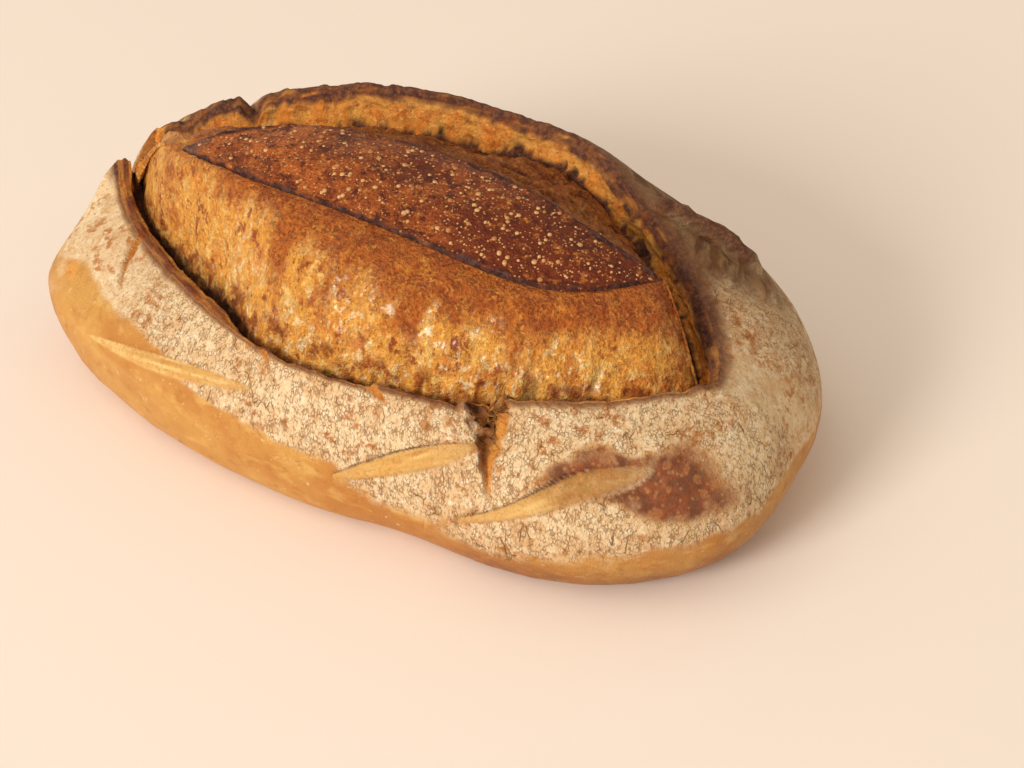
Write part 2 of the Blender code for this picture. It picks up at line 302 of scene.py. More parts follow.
def lip(turn):
    """The torn edge of the crust before it broke into pieces: low in front, tall at the back."""
    x, y = oval(turn, MOUTH_LENGTH / 2, MOUTH_WIDTH / 2, MOUTH_POWER)
    y = y * (1.0 + MOUTH_GROWTH * x / (MOUTH_LENGTH / 2))
    cosine, sine = math.cos(MOUTH_TURN), math.sin(MOUTH_TURN)
    x, y = x * cosine - y * sine + MOUTH_SHIFT[0], x * sine + y * cosine + MOUTH_SHIFT[1]
    front = FRONT_LIP_HEIGHT + FRONT_LIP_CLIMB * x
    back = BACK_LIP_HEIGHT - BACK_LIP_DROP * np.abs((x - BACK_LIP_TOP) / (MOUTH_LENGTH / 2)) ** 2.2
    share = back_share(turn)
    return np.stack([x, y, front * (1.0 - share) + back * share], axis=-1)


def crown(x, y):
    """The height of the old top of the loaf, which the leaf of crust still follows."""
    run = np.abs((x - LEAF_SHIFT) / (LEAF_LENGTH / 2))
    return CROWN_HEIGHT - LEAF_END_DROP * run**2.5 - 8.0 * (y - LEAF_MIDLINE) ** 2


def leaf_sides(run):
    """How far the leaf reaches to the front and to the back of its midline, for a run from -1 to 1."""
    front = -LEAF_FRONT_HALF * (1.0 - np.abs(run) ** 4.5) * (1.0 + 0.50 * run)
    back = LEAF_BACK_HALF * (1.0 - np.abs(run) ** 2.3) * (1.0 - 0.80 * run)
    return front, back


def leaf_line(turn, share):
    """The edge of the leaf of old crust, drawn in towards its midline by share."""
    run = np.cos(turn)
    front, back = leaf_sides(run)
    x = LEAF_SHIFT + LEAF_LENGTH / 2 * run * (0.4 + 0.6 * share)
    y = LEAF_MIDLINE + LEAF_TILT * run + share * np.where(np.sin(turn) < 0.0, front, back)
    return np.stack([x, y, crown(x, y)], axis=-1)


edge_round = lip(np.linspace(0.0, 2.0 * math.pi, 721))
print("the torn edge is", round(np.linalg.norm(np.diff(edge_round, axis=0), axis=1).sum(), 3), "m long")

# %% [markdown]
# Baked dough is uneven at every size, from swells as broad as a thumb to grains of a millimetre. Two kinds
# of noise make that. Soft noise blends random heights from a lattice. Cell noise measures how far a point is
# from scattered centres, which gives lumps with sharp valleys between them, as torn dough has.

# %% Noise
LATTICE = 32


def soft_noise(points, pitch, seed):
    """Smooth random values of about -1 to 1. Pitch is the size of a lump, for each axis or for all."""
    table = np.random.default_rng(seed).uniform(-1.0, 1.0, (LATTICE, LATTICE, LATTICE))
    place = points / np.asarray(pitch)
    cell = np.floor(place).astype(int)
    part = place - cell
    part = part * part * (3.0 - 2.0 * part)
    total = np.zeros(points.shape[:-1])
    for corner in itertools.product((0, 1), repeat=3):
        weight = np.prod(np.where(corner, part, 1.0 - part), axis=-1)
        x, y, z = np.moveaxis((cell + corner) % LATTICE, -1, 0)
        total += weight * table[x, y, z]
    return total


def rough_noise(points, pitch, seed, octaves=3):
    """Soft noise of several sizes, each half as large and half as high as the one before."""
    total = np.zeros(points.shape[:-1])
    for step in range(octaves):
        total += soft_noise(points + 0.37 * step, np.asarray(pitch) / 2.0**step, seed + step) / 2.0**step
    return total


def cell_valleys(points, pitch, seed):
    """How far a point is from the valley between its two nearest random centres, in pitches."""
    jitter = np.random.default_rng(seed).uniform(0.0, 1.0, (LATTICE, LATTICE, LATTICE, 3))
    place = points / np.asarray(pitch)
    cell = np.floor(place).astype(int)
    near = np.full(points.shape[:-1], 9.0)
    second = near.copy()
    for step in itertools.product((-1, 0, 1), repeat=3):
        other = cell + step
        x, y, z = np.moveaxis(other % LATTICE, -1, 0)
        gap = np.linalg.norm(place - other - jitter[x, y, z], axis=-1)
        second = np.minimum(second, np.maximum(near, gap))
        near = np.minimum(near, gap)
    return second - near


sample = soft_noise(np.random.default_rng(1).uniform(0.0, 0.3, (2000, 3)), 0.01, 4)
print("soft noise runs from", round(sample.min(), 2), "to", round(sample.max(), 2))

# %% [markdown]
# Each big piece is a closed sheet of rings. All rings have the same number of points, so that neighbouring
# rings join as four-sided faces, and a fan closes each end. NumPy moves a whole sheet of points at once,
# which is far quicker than moving vertices one by one. Colour zones travel with the mesh as attributes.

# %% Rings, sheets and closed meshes
COLUMNS = 960
DENSITY_FADE = 8.0
# First and last turn of a stretch, and how much denser its points stand
COLUMN_DENSITY = ((28.0, 138.0, -0.2), (296.0, 312.0, 0.9), (160.0, 190.0, 0.3))


def ring_turns(count):
    """Turns round the loaf, closer together where the crust is torn and wider apart along the back."""
    fine = np.linspace(0.0, 360.0, 3601)
    density = np.ones_like(fine)
    for first, last, extra in COLUMN_DENSITY:
        density += extra * window(fine, first, last, DENSITY_FADE)
    total = np.cumsum(density)
    return np.radians(np.interp(np.arange(count) / count * total[-1], total, fine))


def push(rings, amount):
    """Rings moved out along the normal of the sheet that they make."""
    along = np.roll(rings, -1, axis=1) - np.roll(rings, 1, axis=1)
    normal = np.cross(along, np.gradient(rings, axis=0))
    normal /= np.maximum(np.linalg.norm(normal, axis=-1, keepdims=True), 1e-12)
    return rings + normal * amount[..., np.newaxis]


def closed_piece(name, rings, zones, material):
    """A closed mesh of rings, with both ends closed by a fan and its zones as attributes."""
    rows, count = rings.shape[:2]
    ends = np.array([rings[0].mean(axis=0), rings[-1].mean(axis=0)])
    points = np.concatenate([rings.reshape(-1, 3), ends]) - centre
    base = np.arange(rows - 1)[:, np.newaxis] * count
    here, after = np.arange(count), (np.arange(count) + 1) % count
    quads = np.stack([base + here, base + after, base + count + after, base + count + here], axis=-1)
    last = (rows - 1) * count
    first_fan = np.stack([after, here, np.full(count, rows * count)], axis=-1)
    last_fan = np.stack([last + here, last + after, np.full(count, rows * count + 1)], axis=-1)
    faces = quads.reshape(-1, 4).tolist() + first_fan.tolist() + last_fan.tolist()
    mesh = bpy.data.meshes.new(name)
    mesh.from_pydata(points.tolist(), [], faces)
    for zone, values in zones.items():
        flat = np.concatenate([np.broadcast_to(values, (rows, count)).ravel(), values[0, :1], values[-1, :1]])
        mesh.attributes.new(zone, "FLOAT", "POINT").data.foreach_set("value", flat.astype(np.float32))
    mesh.materials.append(material)
    mesh.shade_smooth()
    piece = bpy.data.objects.new(name, mesh)
    bpy.context.scene.collection.objects.link(piece)
    print(name, "has", len(points), "points and about", 2 * len(faces), "triangles")
    return piece


turn = ring_turns(COLUMNS)
degrees = np.degrees(turn)
print("points round the loaf:", COLUMNS)

# %% [markdown]
# The crust of the flanks carries the baker's marks: three small leaf-shaped cuts that opened only a little,
# and a tear that runs down the front flap. A small cut has a pale swollen floor that dips under a crisp
# upper edge. Relief like this is a height over the smooth skin, so it stays with the skin's own shape.

# %% Cuts and the tear in the flank
# Turn and climb at both ends, bow of the middle line, half width in climb, skew towards the end, strength
LEAF_CUTS = (
    ((272.5, -0.07), (301.0, 0.75), 0.06, 0.095, 0.85, 1.0),
    ((286.5, -0.28), (327.0, 0.60), 0.25, 0.080, 1.45, 1.0),
    ((228.0, 0.19), (262.0, 0.61), 0.01, 0.085, 1.00, 0.35),
)
LEAF_CUT_DEPTH = 0.0022
LEAF_CUT_SWELL = 0.0024
LEAF_CUT_EDGE = 0.0007
FLANK_PER_DEGREE = 0.0024
FLANK_HEIGHT = 0.045
TEAR_FOOT_TURN = 297.7
TEAR_EDGE_TURN = 309.5
TEAR_FOOT_CLIMB = 0.27
TEAR_HALF_WIDTH = 3.9
TEAR_DEPTH = 0.0054
# Turn at the edge, lean in degrees for each climb, climb of the foot, half width in degrees
FLAP_CRACKS = ((216.8, 41.0, 0.70, 1.7), (266.0, 6.0, 0.84, 1.2), (287.0, 4.0, 0.84, 1.2))
# Turn and climb at both ends, span in climb, and how far the ear stands out
EAR = ((43.5, 0.60), (53.0, 0.87), 0.045, 0.0040)


def across_tear(turn, climb):
    """How far up the tear a point is, and how far across it: -1 at its left edge and 1 at its right edge."""
    rise = np.clip((climb - TEAR_FOOT_CLIMB) / (1.0 - TEAR_FOOT_CLIMB), 0.0, 1.0)
    middle = TEAR_FOOT_TURN + (TEAR_EDGE_TURN - TEAR_FOOT_TURN) * rise**1.8
    return rise, (np.degrees(turn) - middle) / (0.3 + TEAR_HALF_WIDTH * rise**1.8)


def tear(turn, climb, ragged=0.0):
    """The open tear down the front flap: 0 outside it, 1 at its deepest."""
    rise, across = across_tear(turn, climb)
    across = across + ragged
    return smooth_step(-1.02, -0.72, across) * (1.0 - smooth_step(0.1, 1.05, across)) * rise**0.6


def leaf_cut(turn, climb, start, end, bow, half_width, skew, strength):
    """One small cut: its relief, how far a point lies inside it, its crisp edges and its long fibres."""
    share = (np.degrees(turn) - start[0]) / (end[0] - start[0])
    inside = np.clip(share, 0.0, 1.0)
    middle = start[1] + (end[1] - start[1]) * share + bow * np.sin(math.pi * inside)
    length = np.sin(math.pi * inside**skew)
    across = (climb - middle) / (half_width * length**0.7 + 0.004)
    floor_mask = smooth_step(-1.25, -0.7, across) * (1.0 - smooth_step(0.88, 1.06, across)) * (length > 0.0)
    sunk = -LEAF_CUT_DEPTH * smooth_step(-1.2, 0.9, across) * (1.0 - smooth_step(0.98, 1.1, across))
    swell = LEAF_CUT_SWELL * np.clip(1.0 - across**2, 0.0, 1.0) ** 0.8
    rim = LEAF_CUT_EDGE * bump(across, 1.12, 0.12)
    # The upper edge's mask also carries a painted shadow line under its overhang
    upper = strength * bump(across, 1.02, 0.10) * length**0.3
    lower = strength * bump(across, -1.18, 0.12) * length**0.3 * smooth_step(0.5, 0.8, share)
    along = FLANK_PER_DEGREE * np.degrees(turn)
    unrolled = np.stack(np.broadcast_arrays(along, FLANK_HEIGHT * (climb - middle), 0.0), -1)
    fibres = rough_noise(unrolled, (0.012, 0.0011, 1.0), 13, 3) * floor_mask
    relief = strength * ((sunk + swell + rim) * length**0.5 + 0.40 * MM * fibres)
    return relief, floor_mask * length**0.2, upper, lower, fibres


def all_cuts(turn, climb):
    """The three small cuts together: their relief, floors, upper edges, lower edges and fibres."""
    reliefs, floors, uppers, lowers, fibres = zip(*[leaf_cut(turn, climb, *cut) for cut in LEAF_CUTS])
    floor_mask, upper, lower = [np.maximum.reduce(masks) for masks in (floors, uppers, lowers)]
    return sum(reliefs), floor_mask, upper, lower, sum(fibres)


def flap_cracks(turn, climb):
    """Short cracks that run down from the torn edge: 0 beside them, 1 inside."""
    total = 0.0
    for edge_turn, lean, foot, half_width in FLAP_CRACKS:
        reach = 0.3 + half_width * smooth_step(foot, 1.0, climb)
        aside = np.abs(np.degrees(turn) - edge_turn - lean * (1.0 - climb)) / reach
        opened = (1.0 - smooth_step(0.6, 1.0, aside)) * smooth_step(foot, foot + 0.06, climb)
        total = np.maximum(total, opened)
    return total


def flank_ring(turn, climb):
    """One even ring of the outside, between the foot at -1 and the lip at 1."""
    x, y = outline(turn)
    if climb <= 0.0:
        roll = (climb + 1.0) * math.pi / 2
        share = FOOT_SHARE + (1.0 - FOOT_SHARE) * math.sin(roll)
        height = BULGE_HEIGHT * (1.0 - math.cos(roll))
        return np.stack([x * share, y * share, np.full_like(x, height)], axis=-1)
    edge = lip(turn)
    arc = np.radians(FRONT_ARC + (BACK_ARC - FRONT_ARC) * back_share(turn))
    inward = (1.0 - np.cos(arc * climb)) / (1.0 - np.cos(arc))
    rise = np.sin(arc * climb) / np.sin(arc)
    height = BULGE_HEIGHT + (edge[:, 2] - BULGE_HEIGHT) * rise + flap_lift(turn, climb)
    return np.stack([x + (edge[:, 0] - x) * inward, y + (edge[:, 1] - y) * inward, height], axis=-1)


print("leaf-shaped cuts:", len(LEAF_CUTS), "- the tear is", round(TEAR_DEPTH / MM, 1), "mm deep")

# %% [markdown]
# The floured crust is one sheet. From the middle of the base it runs out to the foot, up the flank to the
# torn edge, over the edge, whose thickness shows as a fibrous red-brown band at the left, and down the inner
# wall of the flap into the groove. It closes under the burst dough, out of sight.

# %% The flank
FOOT_ROWS = 9
FLANK_ROWS = 60

climbs = np.concatenate([np.linspace(-1.0, 0.0, FOOT_ROWS + 1)[:-1], np.linspace(0.0, 1.0, FLANK_ROWS)])
climb = climbs[:, np.newaxis]
smooth_flank = np.array([flank_ring(turn, value) for value in climbs])
cut_relief, cut_floor, cut_edge_shadow, cut_rim, cut_fibres = all_cuts(turn, climb)
flank_weight = smooth_step(-0.95, -0.45, climb)

lumps = 0.8 * MM * rough_noise(smooth_flank, 0.034, 3, 2)
wrinkles = 0.30 * MM * rough_noise(smooth_flank, (0.009, 0.009, 0.013), 6, 3) * (1.0 - 0.6 * cut_floor)
ear_start, ear_end, ear_tall, ear_out = EAR
ear_line = np.interp(degrees, (ear_start[0], ear_end[0]), (ear_start[1], ear_end[1]))
over_ear = climb - ear_line + 0.012 * soft_noise(smooth_flank, 0.003, 47)
along_ear = window(degrees, ear_start[0], ear_end[0], 3.5)
ear = (bump(over_ear, 0.0, ear_tall) - 0.5 * bump(over_ear, 0.11, 0.05)) * along_ear
ear = ear_out * ear * (1.0 + 0.4 * soft_noise(smooth_flank, 0.0045, 14))
whole_flank = push(smooth_flank, (cut_relief + lumps + wrinkles + ear) * flank_weight)

ragged = 0.30 * soft_noise(smooth_flank, 0.0030, 11) + 0.14 * soft_noise(smooth_flank, 0.0014, 15)
tear_mask = tear(turn, climb, ragged)
cracks = flap_cracks(turn, climb + 0.03 * soft_noise(smooth_flank, 0.0030, 16))
torn_relief = (0.5 * MM * rough_noise(smooth_flank, 0.0035, 12) - TEAR_DEPTH) * tear_mask - 1.4 * MM * cracks
torn_flank = push(whole_flank, torn_relief)
jagged = 1.0 + 1.2 * window(degrees, 138.0, 170.0, 8.0)
edge_noise = 0.60 * MM * soft_noise(lip(turn), 0.0042, 21) + 0.40 * MM * soft_noise(lip(turn), 0.0015, 22)
torn_flank[..., 2] += jagged * edge_noise * smooth_step(0.90, 1.0, climb)

centre = (torn_flank.min(axis=(0, 1)) + torn_flank.max(axis=(0, 1))) / 2 * (1.0, 1.0, 0.0)
print("flank:", torn_flank.shape[0], "rings, with their middle in plan at", (centre / MM).round(2), "mm")

# %% The torn edge and the inner wall
EDGE_ROWS = 8
WALL_ROWS = 20
THIN_EDGE = 0.0012
LEFT_BAND = 0.0033
BACK_BAND = 0.0034
GROOVE_GAP = 0.0016

even_lip = lip(turn)
tangent = np.roll(even_lip, -1, axis=0) - np.roll(even_lip, 1, axis=0)
inward = np.stack([-tangent[:, 1], tangent[:, 0], np.zeros(COLUMNS)], axis=-1)
inward /= np.linalg.norm(inward, axis=-1, keepdims=True)
lip_run = np.cumsum(np.linalg.norm(np.roll(even_lip, -1, axis=0) - even_lip, axis=1))
band = window(degrees, 188.0, 252.0, 10.0)
open_end = window(degrees, 166.5, 184.0, 2.0)
thickness = THIN_EDGE + LEFT_BAND * band + BACK_BAND * back_share(turn) * (1.0 - open_end)
slope = 0.35 + 0.50 * back_share(turn) - 0.50 * band
tear_at_edge = tear(turn, 1.0)
edge_share = np.linspace(0.0, 1.0, EDGE_ROWS + 1)[1:, np.newaxis]
wall_share = np.linspace(0.0, 1.0, WALL_ROWS + 1)[1:, np.newaxis]


def along_edge(step, across_pitch, along_pitch, seed):
    """Noise drawn out along the torn edge. Step is how far across the edge each row lies."""
    places = np.broadcast_arrays(lip_run, step + 0.0 * lip_run, 0.0 * lip_run)
    return rough_noise(np.stack(places, axis=-1), (along_pitch, across_pitch, 1.0), seed, 2)


def edge_and_wall(edge, torn):
    """The rounded torn edge, and the inner wall behind it down to the groove."""
    deep = back_share(turn) * (1.0 - 0.8 * smooth_step(0.7, 1.0, np.cos(turn)))
    depth = FRONT_GROOVE_DEPTH + (BACK_GROOVE_DEPTH - FRONT_GROOVE_DEPTH) * deep
    depth = depth * (1.0 - 0.35 * window(degrees, 25.0, 75.0, 20.0)) + 0.0018 * band
    depth = depth * (1.0 - 0.9 * window(degrees, END_GAP[0], END_GAP[1], 2.0)) * (1.0 - 0.8 * torn)
    over = thickness * edge_share
    drop = slope * over - 0.5 * THIN_EDGE * np.sin(math.pi * edge_share)
    over_wall = thickness + 0.20 * depth * wall_share + GROOVE_GAP * smooth_step(0.6, 1.0, wall_share)
    drop_wall = slope * thickness + depth * smooth_step(-0.3, 1.05, wall_share)
    over, drop = np.concatenate([over, over_wall]), np.concatenate([drop, drop_wall])
    down = np.stack([0.0 * drop, 0.0 * drop, -drop], axis=-1)
    return edge + inward * over[..., np.newaxis] + down


wall = edge_and_wall(torn_flank[-1], tear_at_edge)
groove = edge_and_wall(whole_flank[-1], 0.0 * turn)[-1]
fibres = along_edge(edge_share * thickness, 0.0009, 0.010, 34)
upright = along_edge(0.003 * wall_share, 0.010, 0.0022, 31)
upright = upright + 0.8 * along_edge(0.003 * wall_share, 0.020, 0.008, 33)
wall_fade = smooth_step(0.0, 0.2, wall_share) * (1.0 - smooth_step(0.8, 1.0, wall_share))
pitting = smooth_step(0.30, 0.85, along_edge(0.010 * wall_share, 0.0030, 0.0030, 36))
wall_pits = -0.9 * MM * pitting * back_share(turn)
edge_relief = (0.60 + 0.40 * band) * MM * fibres * np.sin(math.pi * edge_share) ** 0.5
wall_relief = (0.65 * MM * upright + wall_pits) * wall_fade
wall = push(wall, np.concatenate([edge_relief, wall_relief]))
crumbly = np.concatenate([0.6 * edge_share, wall_fade]) * (0.35 + 0.65 * back_share(turn))
wall = push(wall, 1.1 * MM * rough_noise(wall, 0.0055, 37, 3) * crumbly)
print("torn edge and inner wall:", wall.shape[0], "rings")

# %% [markdown]
# Colour zones are worked out point by point, with the same turn and climb. Flour lies on the flank down to a
# wavering line, except in the small cuts, in the tear and where steam browned the crust. The torn edges are
# burnt, and the inner wall is the orange-gold of dough that was bare while it baked. Shade is painted into
# some
# zones too: at the back and low at the right, under the fold of the edge, along the cuts' upper edges, in the
# tear's left side and at the foot of the inner wall.

# %% Where the flour ends
# Turn and climb of the line below which the crust is bare
FLOUR_LINE = (
    *((0, 0.10), (60, 0.00), (130, 0.05), (170, 0.15), (196, 0.25), (206, 0.46), (214, 0.66)),
    *((226, 0.60), (243, 0.53), (252, 0.34), (262, 0.20), (274, 0.14), (278, -0.10), (287, -0.20)),
    *((296, -0.32), (306, -0.17), (317, 0.02), (335, 0.00), (360, 0.10)),
)
boundary = np.interp(degrees, *np.array(FLOUR_LINE).T)
waver = 0.05 * rough_noise(smooth_flank, 0.014, 41, 3)
floured = smooth_step(-0.035, 0.035, climb - boundary + waver)
print("share of the flank that is floured:", round(float(floured.mean()), 2))

# %% The patch that steam browned
STEAM_SPAN = (312.0, 333.0)
TANNED_SPAN = (310.0, 330.0)

(first_turn, first_climb), (last_turn, last_climb), bow, half_width, skew, _ = LEAF_CUTS[1]
place = np.clip((degrees - first_turn) / (last_turn - first_turn), 0.0, 1.0)
cut_line = first_climb + (last_climb - first_climb) * place + bow * np.sin(math.pi * place)
above_cut = climb - cut_line + 0.05 * rough_noise(smooth_flank, 0.010, 42, 4)
cut_half = half_width * np.sin(math.pi * place**skew) ** 0.7
steam_depth = 0.03 + 0.36 * smooth_step(308.0, 328.0, degrees)
steam_rise = 0.03 + 0.05 * smooth_step(306.0, 320.0, degrees)
steamed = window(degrees, *STEAM_SPAN, 10.0) * smooth_step(-0.06, 0.04, above_cut + steam_depth)
steamed = steamed * (1.0 - smooth_step(-0.01, 0.07, above_cut - cut_half - steam_rise)) * (1.0 - cut_floor)
steamed = steamed * (1.0 - 0.15 * smooth_step(0.0, 0.7, rough_noise(smooth_flank, 0.005, 49, 3)))
tanned = cut_floor * window(degrees, *TANNED_SPAN, 8.0)
print("share of the flank that steam browned:", round(float(steamed.mean()), 3))

# %% Smudges, bare places and shade
SMUDGE_SPAN = (194.0, 212.0)
SPOT_TURN = 213.2
FAN_SPAN = (212.0, 240.0)
BARE_END_SPAN = (165.5, 183.5)
HORN_TURN = 186.0
FOLD_SHADE_SPAN = (318.0, 345.0)
SHADE_SPAN = (20.0, 165.0)
LOW_RIGHT_SHADE_SPAN = (300.0, 350.0)
FAR_LEFT_SPAN = (172.0, 203.0)

fan = window(degrees, *FAN_SPAN, 14.0) * window(climb, 0.05, 0.38, 0.12)
fan = fan * smooth_step(0.0, 0.9, soft_noise(smooth_flank, (0.020, 0.020, 0.0028), 46))
spot = bump(degrees, SPOT_TURN, 2.6) * bump(climb, 0.50, 0.06)
smudges = window(degrees, *SMUDGE_SPAN, 6.0) * window(climb, 0.15, 0.60, 0.12) * (1.0 - spot)
smudges = 0.5 * smudges * smooth_step(0.1, 0.7, rough_noise(smooth_flank, 0.008, 44, 4))
bare_end = window(degrees, *BARE_END_SPAN, 2.0) * smooth_step(0.15, 0.35, climb)
horn = bump(degrees, HORN_TURN, 3.0) * smooth_step(0.85, 0.97, climb)
# Painted shade in a band just below the torn edge at the right, where the edge folds over
fold_shade = window(degrees, *FOLD_SHADE_SPAN, 12.0) * bump(climb, 0.93, 0.035)
shaded = window(degrees, *SHADE_SPAN, 15.0) * smooth_step(-0.2, 0.4, climb)
streaks = 0.5 + 0.5 * rough_noise(smooth_flank, (0.014, 0.014, 0.0022), 45, 3)
# Painted shade low on the foot at the right, laid on through the brown zone
low_right_shade = window(degrees, *LOW_RIGHT_SHADE_SPAN, 15.0) * smooth_step(0.0, -0.5, climb)
far_left = window(degrees, *FAR_LEFT_SPAN, 10.0) * bump(climb + 0.3 * waver, 0.12, 0.24)
print("share of the flank in shade:", round(float(shaded.mean()), 2))

# %% Zones of the flank
CRACKED_SPAN = (246.0, 350.0)
# Turns of the back right of the flank, where shade is painted over the flour
BACK_SHADE_SPAN = (38.0, 72.0)

burnt_from = 0.953 - 0.058 * back_share(turn) + 0.02 * soft_noise(smooth_flank, 0.004, 48)
burnt_edge = smooth_step(burnt_from, 1.0, climb) * (1.0 - 0.6 * tear_at_edge)
burnt_edge = burnt_edge * (1.0 - open_end) * (1.0 - cracks)
ear_edge = along_ear * bump(over_ear, 0.025, 0.040)
tear_rise, tear_across = across_tear(turn, climb)
# Painted shadow in the left side of the tear, under its overhanging left edge
tear_shadow = 0.7 * window(tear_across + 1.2 * ragged, -1.0, -0.30, 0.20) * smooth_step(0.1, 0.4, tear_rise)
torn_open = smooth_step(0.1, 0.4, tear_mask)
torn_fibres = rough_noise(smooth_flank, (0.0016, 0.0016, 0.010), 43, 2)
back_shade_streaks = np.clip(0.40 + streaks, 0.0, 1.0)
bare = np.maximum.reduce([cut_floor, 0.95 * steamed, torn_open, cracks, bare_end])
# Flour is thinned where shade is painted at the back
cover = floured * (1.0 - np.clip(bare, 0.0, 1.0)) * (1.0 - 0.40 * shaded * streaks)
# Besides crust that steam and heat browned, this zone carries painted shade: at the back, low at the right,
# under the fold of the edge and along the cuts' upper edges
brown = 0.95 * steamed + 0.55 * low_right_shade + 0.26 * far_left + 0.8 * cut_edge_shadow + 0.8 * fold_shade
brown = brown + 0.60 * shaded + 0.45 * tanned + 0.45 * np.maximum(cracks, tear_mask)
flank_zones = {
    "flour": np.maximum.reduce([cover * (1.0 - 0.9 * burnt_edge), smudges, 0.9 * cut_rim]),
    "cracked": window(degrees, *CRACKED_SPAN, 30.0) + shaded,
    "cut": np.maximum(cut_floor, 0.4 * fan),
    "brown": np.clip(brown, 0.0, 1.0),
    "char_and_shade": np.clip(0.85 * burnt_edge + 0.8 * horn + 0.85 * tear_shadow + 0.9 * ear_edge, 0.0, 1.0),
    "wall": np.clip(torn_open + cracks + bare_end + 0.7 * spot, 0.0, 1.0),
    "grain": 0.5 + 0.5 * cut_fibres + 0.5 * torn_fibres * tear_mask,
    "back_shade": window(degrees, *BACK_SHADE_SPAN, 12.0) * smooth_step(0.3, 0.6, climb) * back_shade_streaks,
}
print("zones:", ", ".join(flank_zones))

# %% Zones of the torn edge and the inner wall
WALL_FOOT = 0.58

edge_dark = 0.65 + 0.10 * back_share(turn) * (1.0 - edge_share) - 0.55 * band
edge_dark = edge_dark * (1.0 - open_end)
edge_specks = along_edge(edge_share * thickness, 0.0022, 0.0026, 38)
speckle = along_edge(0.010 * wall_share, 0.0016, 0.0018, 35)
high_wall = 1.0 - smooth_step(0.05, 0.55, wall_share + 0.10 * upright)
wall_dark = back_share(turn) * high_wall * np.clip(0.70 * speckle - 0.12, 0.0, 1.0)
# Painted shade at the foot of the inner wall, where it goes down into the groove
foot_line = WALL_FOOT + 0.22 * upright - 0.28 * band
wall_foot_shade = smooth_step(foot_line, foot_line + 0.32, wall_share) * (1.0 - 0.7 * tear_at_edge)
edge_brown = np.maximum(band, back_share(turn) * (1.0 - open_end)) * (1.0 - smooth_step(0.8, 1.0, edge_share))
edge_brown = edge_brown * np.clip(0.75 + 0.35 * fibres, 0.0, 1.0)
wall_brown = 0.5 * band * (1.0 - wall_share) + 0.15 * back_share(turn) * high_wall
edge_char = edge_dark * (1.0 - 0.6 * tear_at_edge) + 0.45 * fibres + 0.5 * back_share(turn) * edge_specks
wall_zones = {
    "brown": np.concatenate([edge_brown, wall_brown]),
    "char_and_shade": np.concatenate([edge_char, wall_dark + wall_foot_shade]),
    "wall": np.ones((1, 1)),
    "grain": 0.5 + 0.5 * np.concatenate([fibres, upright]),
}
wall_zones = {name: np.clip(values, 0.0, 1.0) for name, values in wall_zones.items()}
print("zones of the wall:", ", ".join(wall_zones))

# %% [markdown]
# A few small helpers make the patterns that all the crusts share: a vector counted in millimetres, patches,
# cracks and bubbles of a real size, masks that are combined, and colours laid over each other like glazes.
# Each joins several nodes, and everything else adds its nodes directly.


# %% Patterns of a real size
def measured_space(tree, pitch):
    """Object coordinates counted in pitches, which are millimetres along X, Y and Z, or one for all."""
    where = add_node(tree, "ShaderNodeTexCoord").outputs["Object"]
    sizes = pitch if isinstance(pitch, tuple) else (pitch,) * 3
    scale = [1.0 / (size * MM) for size in sizes]
    return add_node(tree, "ShaderNodeMapping", {"Vector": where, "Scale": scale}).outputs[0]


def patches(tree, pitch, low, high, detail=3.0, roughness=0.55):
    """A mask of soft patches about one pitch across: 0 where the noise is below low, 1 above high."""
    space = measured_space(tree, pitch)
    inputs = {"Vector": space, "Scale": 1.0, "Detail": detail, "Roughness": roughness}
    speckle = add_node(tree, "ShaderNodeTexNoise", inputs).outputs["Fac"]
    limits = {"Value": speckle, "From Min": low, "From Max": high}
    return add_node(tree, "ShaderNodeMapRange", limits, interpolation_type="SMOOTHSTEP").outputs["Result"]


def crackle(tree, pitch, width, bend=0.5):
    """A mask of thin cracks between cells about one pitch across, with a crack's width as a share of it."""
    space = measured_space(tree, pitch)
    inputs = {"Vector": space, "Scale": 1.3, "Detail": 3.0}
    sway = add_node(tree, "ShaderNodeTexNoise", inputs).outputs["Color"]
    inputs = {0: sway, 1: (bend, bend, bend), 2: space}
    bent = add_node(tree, "ShaderNodeVectorMath", inputs, operation="MULTIPLY_ADD").outputs[0]
    cells = add_node(tree, "ShaderNodeTexVoronoi", {"Vector": bent, "Scale": 1.0}, feature="DISTANCE_TO_EDGE")
    limits = {"Value": cells.outputs["Distance"], "From Min": width, "From Max": 0.4 * width}
    return add_node(tree, "ShaderNodeMapRange", limits, interpolation_type="SMOOTHSTEP").outputs["Result"]


def bubbles(tree, pitch, radius):
    """A mask of round spots about one pitch apart. Radius is their largest radius as a share of it."""
    inputs = {"Vector": measured_space(tree, pitch), "Scale": 1.0}
    cells = add_node(tree, "ShaderNodeTexVoronoi", inputs)
    limits = {"Value": cells.outputs["Distance"], "From Min": radius, "From Max": 0.6 * radius}
    return add_node(tree, "ShaderNodeMapRange", limits, interpolation_type="SMOOTHSTEP").outputs["Result"]


def both(tree, *masks):
    """Where all of the masks or shares show at once: their product."""
    total = masks[0]
    for mask in masks[1:]:
        total = add_node(tree, "ShaderNodeMath", {0: total, 1: mask}, operation="MULTIPLY").outputs[0]
    return total


def glazed(tree, base, *coats):
    """A base colour with coats laid over it in turn, each given as how much of it shows and its colour.

    A colour is a hex value or the socket of another pattern."""
    base = linear(base) if isinstance(base, str) else base
    for amount, colour in coats:
        coat = linear(colour) if isinstance(colour, str) else colour
        base = add_node(tree, "ShaderNodeMix", {0: amount, 6: base, 7: coat}, data_type="RGBA").outputs[2]
    return base


